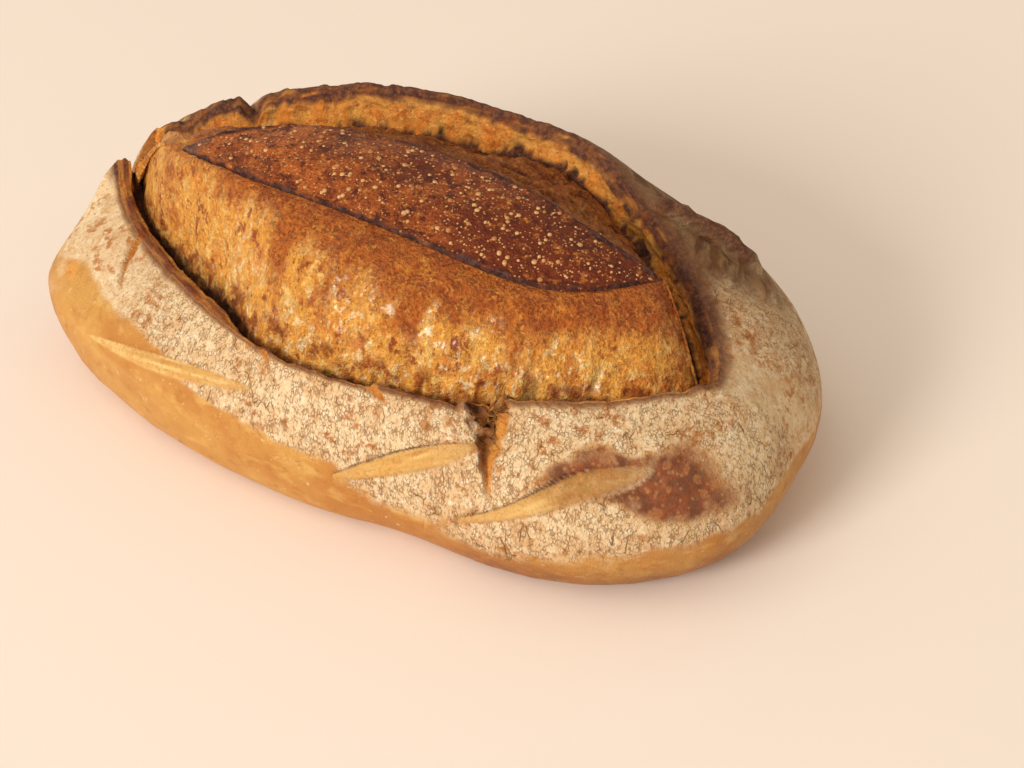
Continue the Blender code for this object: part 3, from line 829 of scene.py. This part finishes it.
def new_finish(name, zones, roughness, **settings):
    """A material, its tree, its shader with constant values on its own sockets, and the mesh's zones."""
    material = bpy.data.materials.new(name)
    material.use_nodes = True
    tree = material.node_tree
    shader = tree.nodes["Principled BSDF"]
    shader.inputs["Roughness"].default_value = roughness
    shader.inputs["Metallic"].default_value = 0.0
    for socket, value in settings.items():
        shader.inputs[socket.replace("_", " ")].default_value = value
    reads = {}
    for zone in zones:
        reads[zone] = add_node(tree, "ShaderNodeAttribute", attribute_name=zone).outputs["Fac"]
    return material, tree, shader, reads


def dress(tree, shader, colour, height, depth):
    """Gives a shader its colour, and a pattern's height as relief up to a depth in metres."""
    relief = add_node(tree, "ShaderNodeBump", {"Height": height, "Distance": depth})
    tree.links.new(colour, shader.inputs["Base Color"])
    tree.links.new(relief.outputs["Normal"], shader.inputs["Normal"])


print("patterns are counted in real millimetres")

# %% [markdown]
# The crust's material is baked wheat crust under rice flour. Bare crust is a satin golden brown, mottled by
# how the starch browned. Flour hides it with a matt cream that split into short dark cracks as the loaf grew,
# and at the left it also fell off in small flecks. A picture wrapped round the loaf would bring its own light
# and seams along, so the colours are patterns of a real size, laid over each other where a zone says so.
# Cells that are drawn out along Z give the cracks.

# %% Floured wheat crust
def make_floured_crust():
    """Baked wheat crust dusted with rice flour: satin gold where bare, matt cream where floured."""
    names = ("flour", "cracked", "cut", "brown", "char_and_shade", "wall", "grain", "back_shade")
    gloss = {"IOR": 1.45, "Specular_IOR_Level": 0.3}
    material, tree, shader, zone = new_finish("floured_wheat_crust", names, 0.55, **gloss)

    gold = glazed(
        tree,
        "#D39A4C",
        (patches(tree, 30, 0.35, 0.65), "#C27F38"),
        (patches(tree, (12, 12, 6), 0.52, 0.75), "#DDAA5C"),
        (patches(tree, 4.5, 0.50, 0.80, 5.0, 0.65), "#B4732F"),
        (patches(tree, 2.6, 0.66, 0.73, 2.0), "#E0B67A"),
    )
    cut = glazed(
        tree,
        "#F2CB82",
        (zone["grain"], "#CE9448"),
        (patches(tree, 6, 0.45, 0.65), "#DCA75A"),
        (both(tree, patches(tree, 1.4, 0.50, 0.66, 4.0, 0.7), 0.45), "#A96528"),
    )
    torn = glazed(
        tree,
        "#FFB856",
        (zone["grain"], "#F6963A"),
        (patches(tree, 5, 0.50, 0.66, 5.0, 0.7), "#E27E2E"),
        (patches(tree, 2, 0.54, 0.68, 4.0, 0.7), "#FFC878"),
        (patches(tree, 1.8, 0.60, 0.72, 4.0, 0.7), "#8F3E17"),
    )
    on_skin = add_node(tree, "ShaderNodeMath", {0: 1.0, 1: zone["wall"]}, operation="SUBTRACT").outputs[0]
    # This brown is also the colour of painted shade, wherever the brown zone carries shade
    browned = glazed(
        tree,
        "#8C3F1A",
        (patches(tree, 6, 0.40, 0.62), "#682B14"),
        (both(tree, bubbles(tree, 5.2, 0.40), on_skin, 0.50), "#BE7640"),
        (both(tree, bubbles(tree, 2.4, 0.34), on_skin, 0.35), "#D09458"),
        (patches(tree, 1.3, 0.52, 0.70, 4.0, 0.7), "#5F2D18"),
    )
    bare = glazed(tree, gold, (zone["cut"], cut), (zone["wall"], torn), (zone["brown"], browned))

    fine_cracks = both(
        tree,
        crackle(tree, (1.1, 1.1, 2.4), 0.14, 1.0),
        patches(tree, (2.2, 2.2, 4), 0.42, 0.60, 5.0, 0.7),
        zone["cracked"],
    )
    long_cracks = both(
        tree,
        crackle(tree, (5.5, 5.5, 16), 0.030, 0.5),
        patches(tree, 9, 0.54, 0.62),
        zone["cracked"],
    )
    flecks = patches(tree, (1.3, 1.3, 2.6), 0.53, 0.68, 4.0, 0.7)
    rust = both(tree, patches(tree, 4.6, 0.50, 0.63, 5.0, 0.68), patches(tree, 26, 0.36, 0.56))
    flour = glazed(
        tree,
        "#EACB9E",
        (patches(tree, 18, 0.38, 0.68), "#DEB584"),
        (patches(tree, 3.5, 0.45, 0.72, 5.0, 0.65), "#F7E2BE"),
        (rust, "#C1804A"),
        (both(tree, flecks, 0.70), "#B0743F"),
        (both(tree, fine_cracks, 0.72), "#96653A"),
        (both(tree, long_cracks, 0.8), "#62401F"),
    )
    # Painted shade: where the flank turns away from the light at the back right, the flour is painted a
    # streaky grey-brown
    back_shade_colour = glazed(tree, "#8E7052", (patches(tree, (16, 16, 1.7), 0.42, 0.60, 4.0), "#49301F"))
    flour = glazed(tree, flour, (zone["back_shade"], back_shade_colour))
    worn = patches(tree, 4.5, 0.50, 0.78, 5.0, 0.65)
    cover = add_node(tree, "ShaderNodeMath", {0: worn, 1: -0.45, 2: 1.0}, operation="MULTIPLY_ADD").outputs[0]
    cover = both(tree, cover, zone["flour"])
    # Burnt crust, whose colour is also used for painted shade in the tear and at the foot of the inner wall
    char_and_shade = glazed(tree, "#553127", (patches(tree, 1.8, 0.42, 0.66, 5.0, 0.7), "#8A5639"))
    colour = glazed(tree, bare, (cover, flour), (zone["char_and_shade"], char_and_shade))

    # Bare crust has a satin gloss, and flour has none
    limits = {"Value": cover, "To Min": 0.40, "To Max": 0.92}
    rough = add_node(tree, "ShaderNodeMapRange", limits).outputs["Result"]
    tree.links.new(rough, shader.inputs["Roughness"])
    pits = add_node(tree, "ShaderNodeMath", {0: fine_cracks, 1: long_cracks}, operation="MAXIMUM").outputs[0]
    # Flour grains are hundredths of a millimetre, too fine to show, so they are drawn as clumps of 0.9 mm
    grain = patches(tree, 0.9, 0.20, 0.80, 4.0, 0.75)
    crumbs = both(tree, patches(tree, 2.6, 0.36, 0.64, 5.0, 0.7), zone["wall"])
    inputs = {0: crumbs, 1: 1.6, 2: grain}
    rough_grain = add_node(tree, "ShaderNodeMath", inputs, operation="MULTIPLY_ADD").outputs[0]
    inputs = {0: both(tree, pits, zone["flour"]), 1: -1.1, 2: rough_grain}
    height = add_node(tree, "ShaderNodeMath", inputs, operation="MULTIPLY_ADD").outputs[0]
    dress(tree, shader, colour, height, 0.3 * MM)
    return material


floured_crust = make_floured_crust()
print("made", floured_crust.name)

# %% [markdown]
# Now the rings of the crust come together, from the middle of the base to the hidden fan under the dough.

# %% Put the crust together
BASE_SHARES = (0.35, 0.75)
# Share of the way in from the wall, and how far below it
HIDDEN_FLOOR = ((0.93, 0.004), (0.60, 0.020))

base_rows = np.stack([torn_flank[0] * (share, share, 1.0) for share in BASE_SHARES])
under = np.stack([wall[-1] * (share, share, 1.0) - (0.0, 0.0, drop) for share, drop in HIDDEN_FLOOR])
crust_rings = np.concatenate([base_rows, torn_flank, wall, under])
nothing = np.zeros((1, 1))
crust_zones = {}
for name, on_flank in flank_zones.items():
    on_wall = wall_zones.get(name, nothing)
    parts = ((base_rows, nothing), (torn_flank, on_flank), (wall, on_wall), (under, nothing))
    spread = [np.broadcast_to(values, rings.shape[:2]) for rings, values in parts]
    crust_zones[name] = np.concatenate(spread)
crust = closed_piece("floured_crust", crust_rings, crust_zones, floured_crust)

# %% [markdown]
# The burst dough swelled out of the cut. In front it is broad and convex, with low swells and drawn ridges
# near the groove. At the back it was pulled open, so it is furrowed and craggy, and near the blunter end a
# web of strands hangs over dark hollows. Sculpting could make it too, but here its rings run from the groove
# up to the leaf, so it always fits both. Rough noise cuts the furrows, and cell valleys leave the strands.

# %% The burst dough
BLOOM_ROWS = 84
# Share of the leaf's reach, and how far below its top
TOP_ROWS = ((0.92, 0.0030), (0.60, 0.0035))

shares = np.linspace(0.0, 1.0, BLOOM_ROWS)[:, np.newaxis]
craggy = craggy_share(turn)
swell = 2.6 - 1.5 * craggy - 0.9 * smooth_step(0.55, 0.95, np.cos(turn)) * (1.0 - craggy)
swell = swell - 0.8 * window(degrees, 160.0, 192.0, 25.0) * (1.0 - craggy)
rim = leaf_line(turn, 1.0) - np.array([0.0, 0.0, LEAF_STEP])
dough = groove + (rim - groove) * shares[..., np.newaxis]
dough[..., 2] = groove[:, 2] + (rim[:, 2] - groove[:, 2]) * (1.0 - (1.0 - shares) ** swell)
dough += (wall[-1] - groove) * (1.0 - smooth_step(0.0, 0.18, shares))[..., np.newaxis]
print("rings of the burst dough:", BLOOM_ROWS)

# %% Crags, furrows and strands
WEBBED_SPAN = (22.0, 78.0)
DRAWN_SPAN = (272.0, 350.0)

bent = dough + 0.0034 * np.stack([rough_noise(dough, 0.009, seed, 3) for seed in (51, 52, 53)], axis=-1)
webbed = window(degrees, *WEBBED_SPAN, 14.0)
valleys = cell_valleys(bent, (0.014, 0.008, 0.009), 54)
small_valleys = cell_valleys(bent, (0.0060, 0.0042, 0.0042), 55)
torn_depth = rough_noise(dough, (0.013, 0.006, 0.006), 65, 4)
furrows = 0.8 * smooth_step(0.25, 0.9, torn_depth) + 0.2 * (1.0 - smooth_step(0.02, 0.30, valleys))
between_strands = smooth_step(0.10, 0.50, valleys) * smooth_step(-0.6, 0.3, torn_depth)
hollow = webbed * between_strands + (1.0 - webbed) * furrows
crags = -3.0 * MM * hollow - 0.5 * MM * (1.0 - smooth_step(0.0, 0.35, small_valleys))
crags = crags + 1.8 * MM * rough_noise(dough, 0.018, 56, 3) + 1.0 * MM * rough_noise(dough, 0.0040, 60, 4)
front = 0.8 * MM * rough_noise(dough, 0.020, 57, 2) + 0.42 * MM * rough_noise(dough, 0.0036, 58, 3)
drawn = (1.0 - smooth_step(0.08, 0.34, shares)) * window(degrees, *DRAWN_SPAN, 20.0)
strand = 0.35 - np.abs(rough_noise(dough, (0.0050, 0.016, 0.016), 59, 3))
ridges = 1.5 * MM * strand * drawn
fade = smooth_step(0.0, 0.06, shares) * (1.0 - smooth_step(0.94, 1.0, shares))
dough = push(dough, (craggy * crags + (1.0 - craggy) * (front + ridges)) * fade)
print("deepest crag:", round(float((craggy * crags).min()) / MM, 1), "mm")

# %% Zones of the burst dough
PALE_SPAN = (170.0, 215.0)
GLAZED_SPAN = (250.0, 326.0)
GAPS_SPAN = (300.0, 350.0)

patch = rough_noise(dough, (0.014, 0.020, 0.020), 61, 5)
toward_right = smooth_step(-0.01, 0.07, dough[..., 0])
toasted = smooth_step(0.34, 0.72, shares + 0.20 * patch + 0.15 * toward_right)
toasted = toasted * (1.0 - 0.35 * window(degrees, *PALE_SPAN, 20.0))
toasted = toasted + 0.5 * smooth_step(0.25, 0.7, patch) * smooth_step(0.05, 0.3, shares)
groove_reach = 0.050 + 0.06 * band
# Painted shade in the groove, reaching a ragged way up the dough
groove_line = shares + 0.30 * groove_reach * rough_noise(dough, 0.0025, 64, 3)
groove_shade = (1.0 - smooth_step(0.0, groove_reach, groove_line)) * (1.0 - 0.8 * tear_at_edge)
scorched = window(shares, 0.02, 0.10, 0.06) * smooth_step(0.0, 0.6, rough_noise(dough, 0.005, 66, 4))
gaps = drawn * smooth_step(0.05, 0.5, -strand) * window(degrees, *GAPS_SPAN, 12.0)
wet_patches = smooth_step(0.0, 0.3, 0.5 + rough_noise(dough, 0.010, 63, 2))
wet_patches = wet_patches * window(degrees, *GLAZED_SPAN, 14.0)
# The dark zone is painted shade in the groove and over the craggy back with its hollows, which lie in the
# leaf's shadow, and it also darkens scorched spots and the gaps between drawn strands
dough_zones = {
    "toasted": (toasted + scorched) * (1.0 - craggy) + craggy * (0.95 + 0.3 * patch),
    "glazed": (1.0 - toasted) * (1.0 - craggy) * wet_patches,
    "dark": groove_shade + (0.25 * scorched + 0.6 * gaps) * (1.0 - craggy) + craggy * (0.22 + 0.60 * hollow),
}
dough_zones = {name: np.clip(values, 0.0, 1.0) for name, values in dough_zones.items()}
print("toasted share of the burst dough:", round(float(dough_zones["toasted"].mean()), 2))

# %% [markdown]
# This dough was bare while it baked. It is granular like fine breadcrumbs and satin, gold low down where it
# came out last, and orange-brown higher up. Near the groove its starch set to a thin glaze, which a clear
# coat over small wet patches gives. A coat all over would make it look varnished.

# %% Burst dough crust
def make_burst_crust():
    """Dough that burst open and browned bare: granular, satin, gold low down, orange-brown higher up."""
    names = ("toasted", "glazed", "dark")
    gloss = {"IOR": 1.47, "Specular_IOR_Level": 0.3}
    material, tree, shader, zone = new_finish("burst_dough_crust", names, 0.48, **gloss)
    shader.inputs["Coat Roughness"].default_value = 0.20

    gold = glazed(
        tree,
        "#EBA343",
        (patches(tree, 11, 0.44, 0.68, 4.0), "#D6812E"),
        (patches(tree, (4, 6, 6), 0.48, 0.66, 5.0, 0.7), "#F4C470"),
        (patches(tree, (4.5, 6.5, 6.5), 0.53, 0.64, 5.0, 0.7), "#A2501F"),
        # Pale cream spots on the wet patches are painted glints of the glaze
        (both(tree, patches(tree, (2.4, 4, 4), 0.54, 0.66, 3.0), zone["glazed"]), "#F4D298"),
    )
    orange = glazed(
        tree,
        "#BA6320",
        (patches(tree, 14, 0.40, 0.65, 4.0), "#A7511D"),
        (patches(tree, 4.2, 0.46, 0.70, 5.0, 0.7), "#D38432"),
    )
    colour = glazed(tree, gold, (zone["toasted"], orange))
    # The real grains are about 0.3 mm, too fine to show, so they are drawn 1.3 mm across
    grains = patches(tree, 1.3, 0.36, 0.64, 3.0, 0.65)
    clumps = patches(tree, 3.6, 0.38, 0.62, 5.0, 0.7)
    crumbs = glazed(tree, grains, (0.40, clumps))
    limits = {"Value": crumbs, "From Min": 0.55, "From Max": 0.05}
    pits = add_node(tree, "ShaderNodeMapRange", limits).outputs["Result"]
    limits = {"Value": zone["toasted"], "To Min": 0.42, "To Max": 0.85}
    grainy = add_node(tree, "ShaderNodeMapRange", limits).outputs["Result"]
    # The dark brown is the painted shade of the groove and the hollows, and the dark of scorched spots
    colour = glazed(tree, colour, (both(tree, pits, grainy), "#6B2F12"), (zone["dark"], "#42220F"))
    wet = both(tree, zone["glazed"], patches(tree, 3, 0.44, 0.60, 4.0, 0.7), 0.8)
    tree.links.new(wet, shader.inputs["Coat Weight"])
    dress(tree, shader, colour, crumbs, 0.9 * MM)
    return material


burst_crust = make_burst_crust()
print("made", burst_crust.name)

# %% Put the burst dough together
start = wall[-1] - inward * 0.0010 - np.array([0.0, 0.0, 0.0015])
low_row = start + (wall[-1].mean(axis=0) - start) * 0.5
top_rows = np.stack([leaf_line(turn, share) - np.array([0.0, 0.0, drop]) for share, drop in TOP_ROWS])
dough_rings = np.concatenate([low_row[np.newaxis], start[np.newaxis], dough, top_rows])
full_zones = {}
for name, values in dough_zones.items():
    spread = np.broadcast_to(values, (BLOOM_ROWS, COLUMNS))
    full_zones[name] = np.concatenate([np.ones((2, COLUMNS)), spread, np.ones((len(TOP_ROWS), COLUMNS))])
bloom = closed_piece("burst_dough", dough_rings, full_zones, burst_crust)

# %% [markdown]
# The leaf of old crust sits on the burst dough like a lid, with raised rims that curl where the blade cut
# them. It could be one more ring round the dough, but a ring bunches up in the two sharp tips. Here the rings
# run across the leaf and follow it from tip to tip, which gives both tips clean ends.

# %% The leaf of old crust
LEAF_COLUMNS = 150
LEAF_STATIONS = 420
LEAF_UNDER = 14
LEAF_THICKNESS = 0.0042
TIP_CUT = 0.03
RIM_RISE = 0.0006
RIM_SPAN = 0.0011
RIM_ROLL = 0.0012

runs = -np.cos(np.linspace(TIP_CUT, math.pi - TIP_CUT, LEAF_STATIONS))
front_side, back_side = leaf_sides(runs)
over = np.linspace(1.0, 0.0, LEAF_COLUMNS)
beneath = np.linspace(0.0, 1.0, LEAF_UNDER + 2)[1:-1]
across = np.concatenate([over, beneath])
is_under = np.concatenate([np.zeros(LEAF_COLUMNS), np.ones(LEAF_UNDER)])
x = LEAF_SHIFT + LEAF_LENGTH / 2 * runs[:, np.newaxis] + 0.0 * across
width = (back_side - front_side)[:, np.newaxis]
y = LEAF_MIDLINE + LEAF_TILT * runs[:, np.newaxis] + front_side[:, np.newaxis] + width * across
to_front, to_back = across * width, (1.0 - across) * width
from_edge = np.minimum(to_front, to_back)
rim_rise = RIM_RISE * bump(from_edge, RIM_SPAN, RIM_SPAN) * smooth_step(0.0, 0.012, width)
rim_roll = -RIM_ROLL * (1.0 - smooth_step(0.0, RIM_SPAN, from_edge))
top_height = crown(x, y) + rim_rise + rim_roll
under_height = crown(x, y) - LEAF_THICKNESS * smooth_step(0.0, 0.2, np.minimum(across, 1.0 - across) * 2.0)
leaf_rings = np.stack([x, y, np.where(is_under, under_height, top_height)], axis=-1)
print("leaf of old crust:", leaf_rings.shape[0], "stations")

# %% Relief and zones of the leaf
on_top = (1.0 - is_under) * smooth_step(0.0, 0.0015, from_edge)
broad = 1.0 * MM * rough_noise(leaf_rings, (0.022, 0.013, 0.02), 71, 2)
pebbles = 0.26 * MM * rough_noise(leaf_rings, 0.0028, 72, 2)
rim_wobble = 0.6 * MM * rough_noise(leaf_rings, 0.006, 73, 2) * bump(from_edge, 0.0015, 0.002)
leaf_rings = push(leaf_rings, (broad + pebbles + rim_wobble) * on_top)
rim_reach = np.minimum(to_front / 0.8, to_back / 1.9) + 0.0010 * rough_noise(leaf_rings, 0.004, 74, 4)
leaf_zones = {
    "rim": np.clip(1.0 - smooth_step(0.0004, 0.0020, rim_reach) + is_under, 0.0, 1.0),
    "tip": smooth_step(0.86, 0.97, -runs)[:, np.newaxis] + 0.0 * across,
    "deep": np.clip(0.6 + 0.7 * runs[:, np.newaxis] + 0.45 * rough_noise(leaf_rings, 0.018, 75, 3), 0.0, 1.0),
    "blistered": smooth_step(0.0005, 0.006, from_edge) * (1.0 - is_under),
}
print("zones of the leaf:", ", ".join(leaf_zones))

# %% [markdown]
# The leaf kept the loaf's first skin, so it baked the longest: mottled mahogany, pebbled, with purple-brown
# rims. Its skin is closed and so a little glossy, which a very thin clear coat gives, as a darker colour
# alone would look like dust.

# %% Dark old crust
def make_leaf_crust():
    """The loaf's first skin, baked longest: pebbled mahogany with purple-brown rims."""
    names = ("rim", "tip", "deep")
    gloss = {"IOR": 1.45, "Specular_IOR_Level": 0.22}
    material, tree, shader, zone = new_finish("mahogany_leaf_crust", names, 0.50, **gloss)
    shader.inputs["Coat Weight"].default_value = 0.05
    shader.inputs["Coat Roughness"].default_value = 0.25
    mahogany = glazed(
        tree,
        "#BC6124",
        (zone["deep"], "#732D0E"),
        (both(tree, patches(tree, 13, 0.48, 0.62, 5.0, 0.65), 0.85), "#6E2C10"),
        (both(tree, patches(tree, 4, 0.53, 0.66, 5.0, 0.7), 0.65), "#CE7E34"),
        (patches(tree, 5, 0.51, 0.62, 5.0, 0.7), "#582210"),
        (both(tree, patches(tree, 1.2, 0.50, 0.64, 4.0, 0.75), 0.7), "#4A1A0C"),
        # Small pale specks are painted glints on the leaf's glossy skin
        (both(tree, bubbles(tree, 1.9, 0.24), 0.8), "#D9A468"),
    )
    rims = glazed(tree, "#3B1F1A", (patches(tree, 2.2, 0.45, 0.62), "#5A362C"))
    tip = glazed(tree, "#5F3E36", (patches(tree, 2.2, 0.45, 0.62), "#83604F"))
    colour = glazed(tree, mahogany, (zone["rim"], rims), (zone["tip"], tip))
    dress(tree, shader, colour, patches(tree, 1.2, 0.25, 0.75, 3.0, 0.6), 0.5 * MM)
    return material


leaf_crust = make_leaf_crust()
leaf = closed_piece("old_crust_leaf", leaf_rings, leaf_zones, leaf_crust)

# %% [markdown]
# Hundreds of small blisters stand on the leaf, thin bubbles of skin that dried pale gold. They repeat and
# differ only in size and turn, which is what Geometry Nodes do well: points are scattered over the leaf by
# its own zone, each gets a flattened bubble, and the copies are made real. The result is kept as a mesh.

# %% Blisters by Geometry Nodes
BLISTERS_PER_M2 = 150000.0
BLISTER_SMALLEST = 0.00018
BLISTER_LARGEST = 0.00105
BLISTER_FLATNESS = 0.55
FACES_PER_BLISTER = 80


def make_blister_skin():
    """Thin dried bubbles of crust, pale gold and a little glossy."""
    material, tree, shader, _ = new_finish("blister_skin", (), 0.36, IOR=1.47)
    colour = glazed(tree, "#D0A068", (patches(tree, 4, 0.40, 0.62, 2.0), "#AE7038"))
    tree.links.new(colour, shader.inputs["Base Color"])
    return material


def blister_tree():
    """Scatters flattened bubbles over the surface that it is given."""
    tree = bpy.data.node_groups.new("blisters", "GeometryNodeTree")
    sockets = (
        ("Surface", "NodeSocketGeometry"),
        ("Per square metre", "NodeSocketFloat"),
        ("Smallest radius", "NodeSocketFloat"),
        ("Largest radius", "NodeSocketFloat"),
        ("Flatness", "NodeSocketFloat"),
        ("Seed", "NodeSocketInt"),
        ("Finish", "NodeSocketMaterial"),
    )
    for name, kind in sockets:
        tree.interface.new_socket(name, in_out="INPUT", socket_type=kind)
    tree.interface.new_socket("Blisters", in_out="OUTPUT", socket_type="NodeSocketGeometry")
    given = add_node(tree, "NodeGroupInput").outputs
    where = add_node(tree, "GeometryNodeInputNamedAttribute", {"Name": "blistered"}, data_type="FLOAT")
    inputs = {0: where.outputs["Attribute"], 1: given["Per square metre"]}
    amount = add_node(tree, "ShaderNodeMath", inputs, operation="MULTIPLY")
    scatter = add_node(
        tree,
        "GeometryNodeDistributePointsOnFaces",
        {"Mesh": given["Surface"], "Density": amount.outputs[0], "Seed": given["Seed"]},
        distribute_method="RANDOM",
    )
    draw = add_node(tree, "FunctionNodeRandomValue", {"Seed": given["Seed"]}, data_type="FLOAT")
    skewed = add_node(tree, "ShaderNodeMath", {0: draw.outputs[1], 1: 4.0}, operation="POWER")
    smallest, largest = given["Smallest radius"], given["Largest radius"]
    limits = {"Value": skewed.outputs[0], "To Min": smallest, "To Max": largest}
    radius = add_node(tree, "ShaderNodeMapRange", limits).outputs["Result"]
    inputs = {0: radius, 1: given["Flatness"]}
    height = add_node(tree, "ShaderNodeMath", inputs, operation="MULTIPLY").outputs[0]
    size = add_node(tree, "ShaderNodeCombineXYZ", {"X": radius, "Y": radius, "Z": height}).outputs["Vector"]
    ball = add_node(tree, "GeometryNodeMeshIcoSphere", {"Radius": 1.0, "Subdivisions": 2})
    inputs = {
        "Points": scatter.outputs["Points"],
        "Instance": ball.outputs["Mesh"],
        "Rotation": scatter.outputs["Rotation"],
        "Scale": size,
    }
    placed = add_node(tree, "GeometryNodeInstanceOnPoints", inputs).outputs["Instances"]
    real = add_node(tree, "GeometryNodeRealizeInstances", {"Geometry": placed}).outputs["Geometry"]
    round_off = add_node(tree, "GeometryNodeSetShadeSmooth", {"Geometry": real}).outputs["Geometry"]
    finish = add_node(tree, "GeometryNodeSetMaterial", {"Geometry": round_off, "Material": given["Finish"]})
    add_node(tree, "NodeGroupOutput", {0: finish.outputs["Geometry"]})
    return tree


def made_by_nodes(name, host_mesh, tree, values):
    """Runs a tree on a mesh once and keeps what it makes as a plain mesh object."""
    host = bpy.data.objects.new(name + "_host", host_mesh)
    bpy.context.scene.collection.objects.link(host)
    modifier = host.modifiers.new("nodes", "NODES")
    modifier.node_group = tree
    for item in tree.interface.items_tree:
        if item.in_out == "INPUT" and item.name in values:
            modifier[item.identifier] = values[item.name]
    evaluated = host.evaluated_get(bpy.context.evaluated_depsgraph_get())
    mesh = bpy.data.meshes.new_from_object(evaluated)
    mesh.name = name
    host.modifiers.remove(modifier)
    bpy.data.objects.remove(host)
    piece = bpy.data.objects.new(name, mesh)
    bpy.context.scene.collection.objects.link(piece)
    return piece


blister_values = {
    "Per square metre": BLISTERS_PER_M2,
    "Smallest radius": BLISTER_SMALLEST,
    "Largest radius": BLISTER_LARGEST,
    "Flatness": BLISTER_FLATNESS,
    "Seed": 7,
    "Finish": make_blister_skin(),
}
blisters = made_by_nodes("crust_blisters", leaf.data, blister_tree(), blister_values)
faces = len(blisters.data.polygons)
print("blisters:", faces // FACES_PER_BLISTER, "with", faces, "faces")

# %% [markdown]
# Every piece is one body with the loaf, so all of them ride on it, and together they stand for its solid.

# %% Hand the pieces to the frame
for piece in (crust, bloom, leaf, blisters):
    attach(piece, "root")
    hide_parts("loaf")
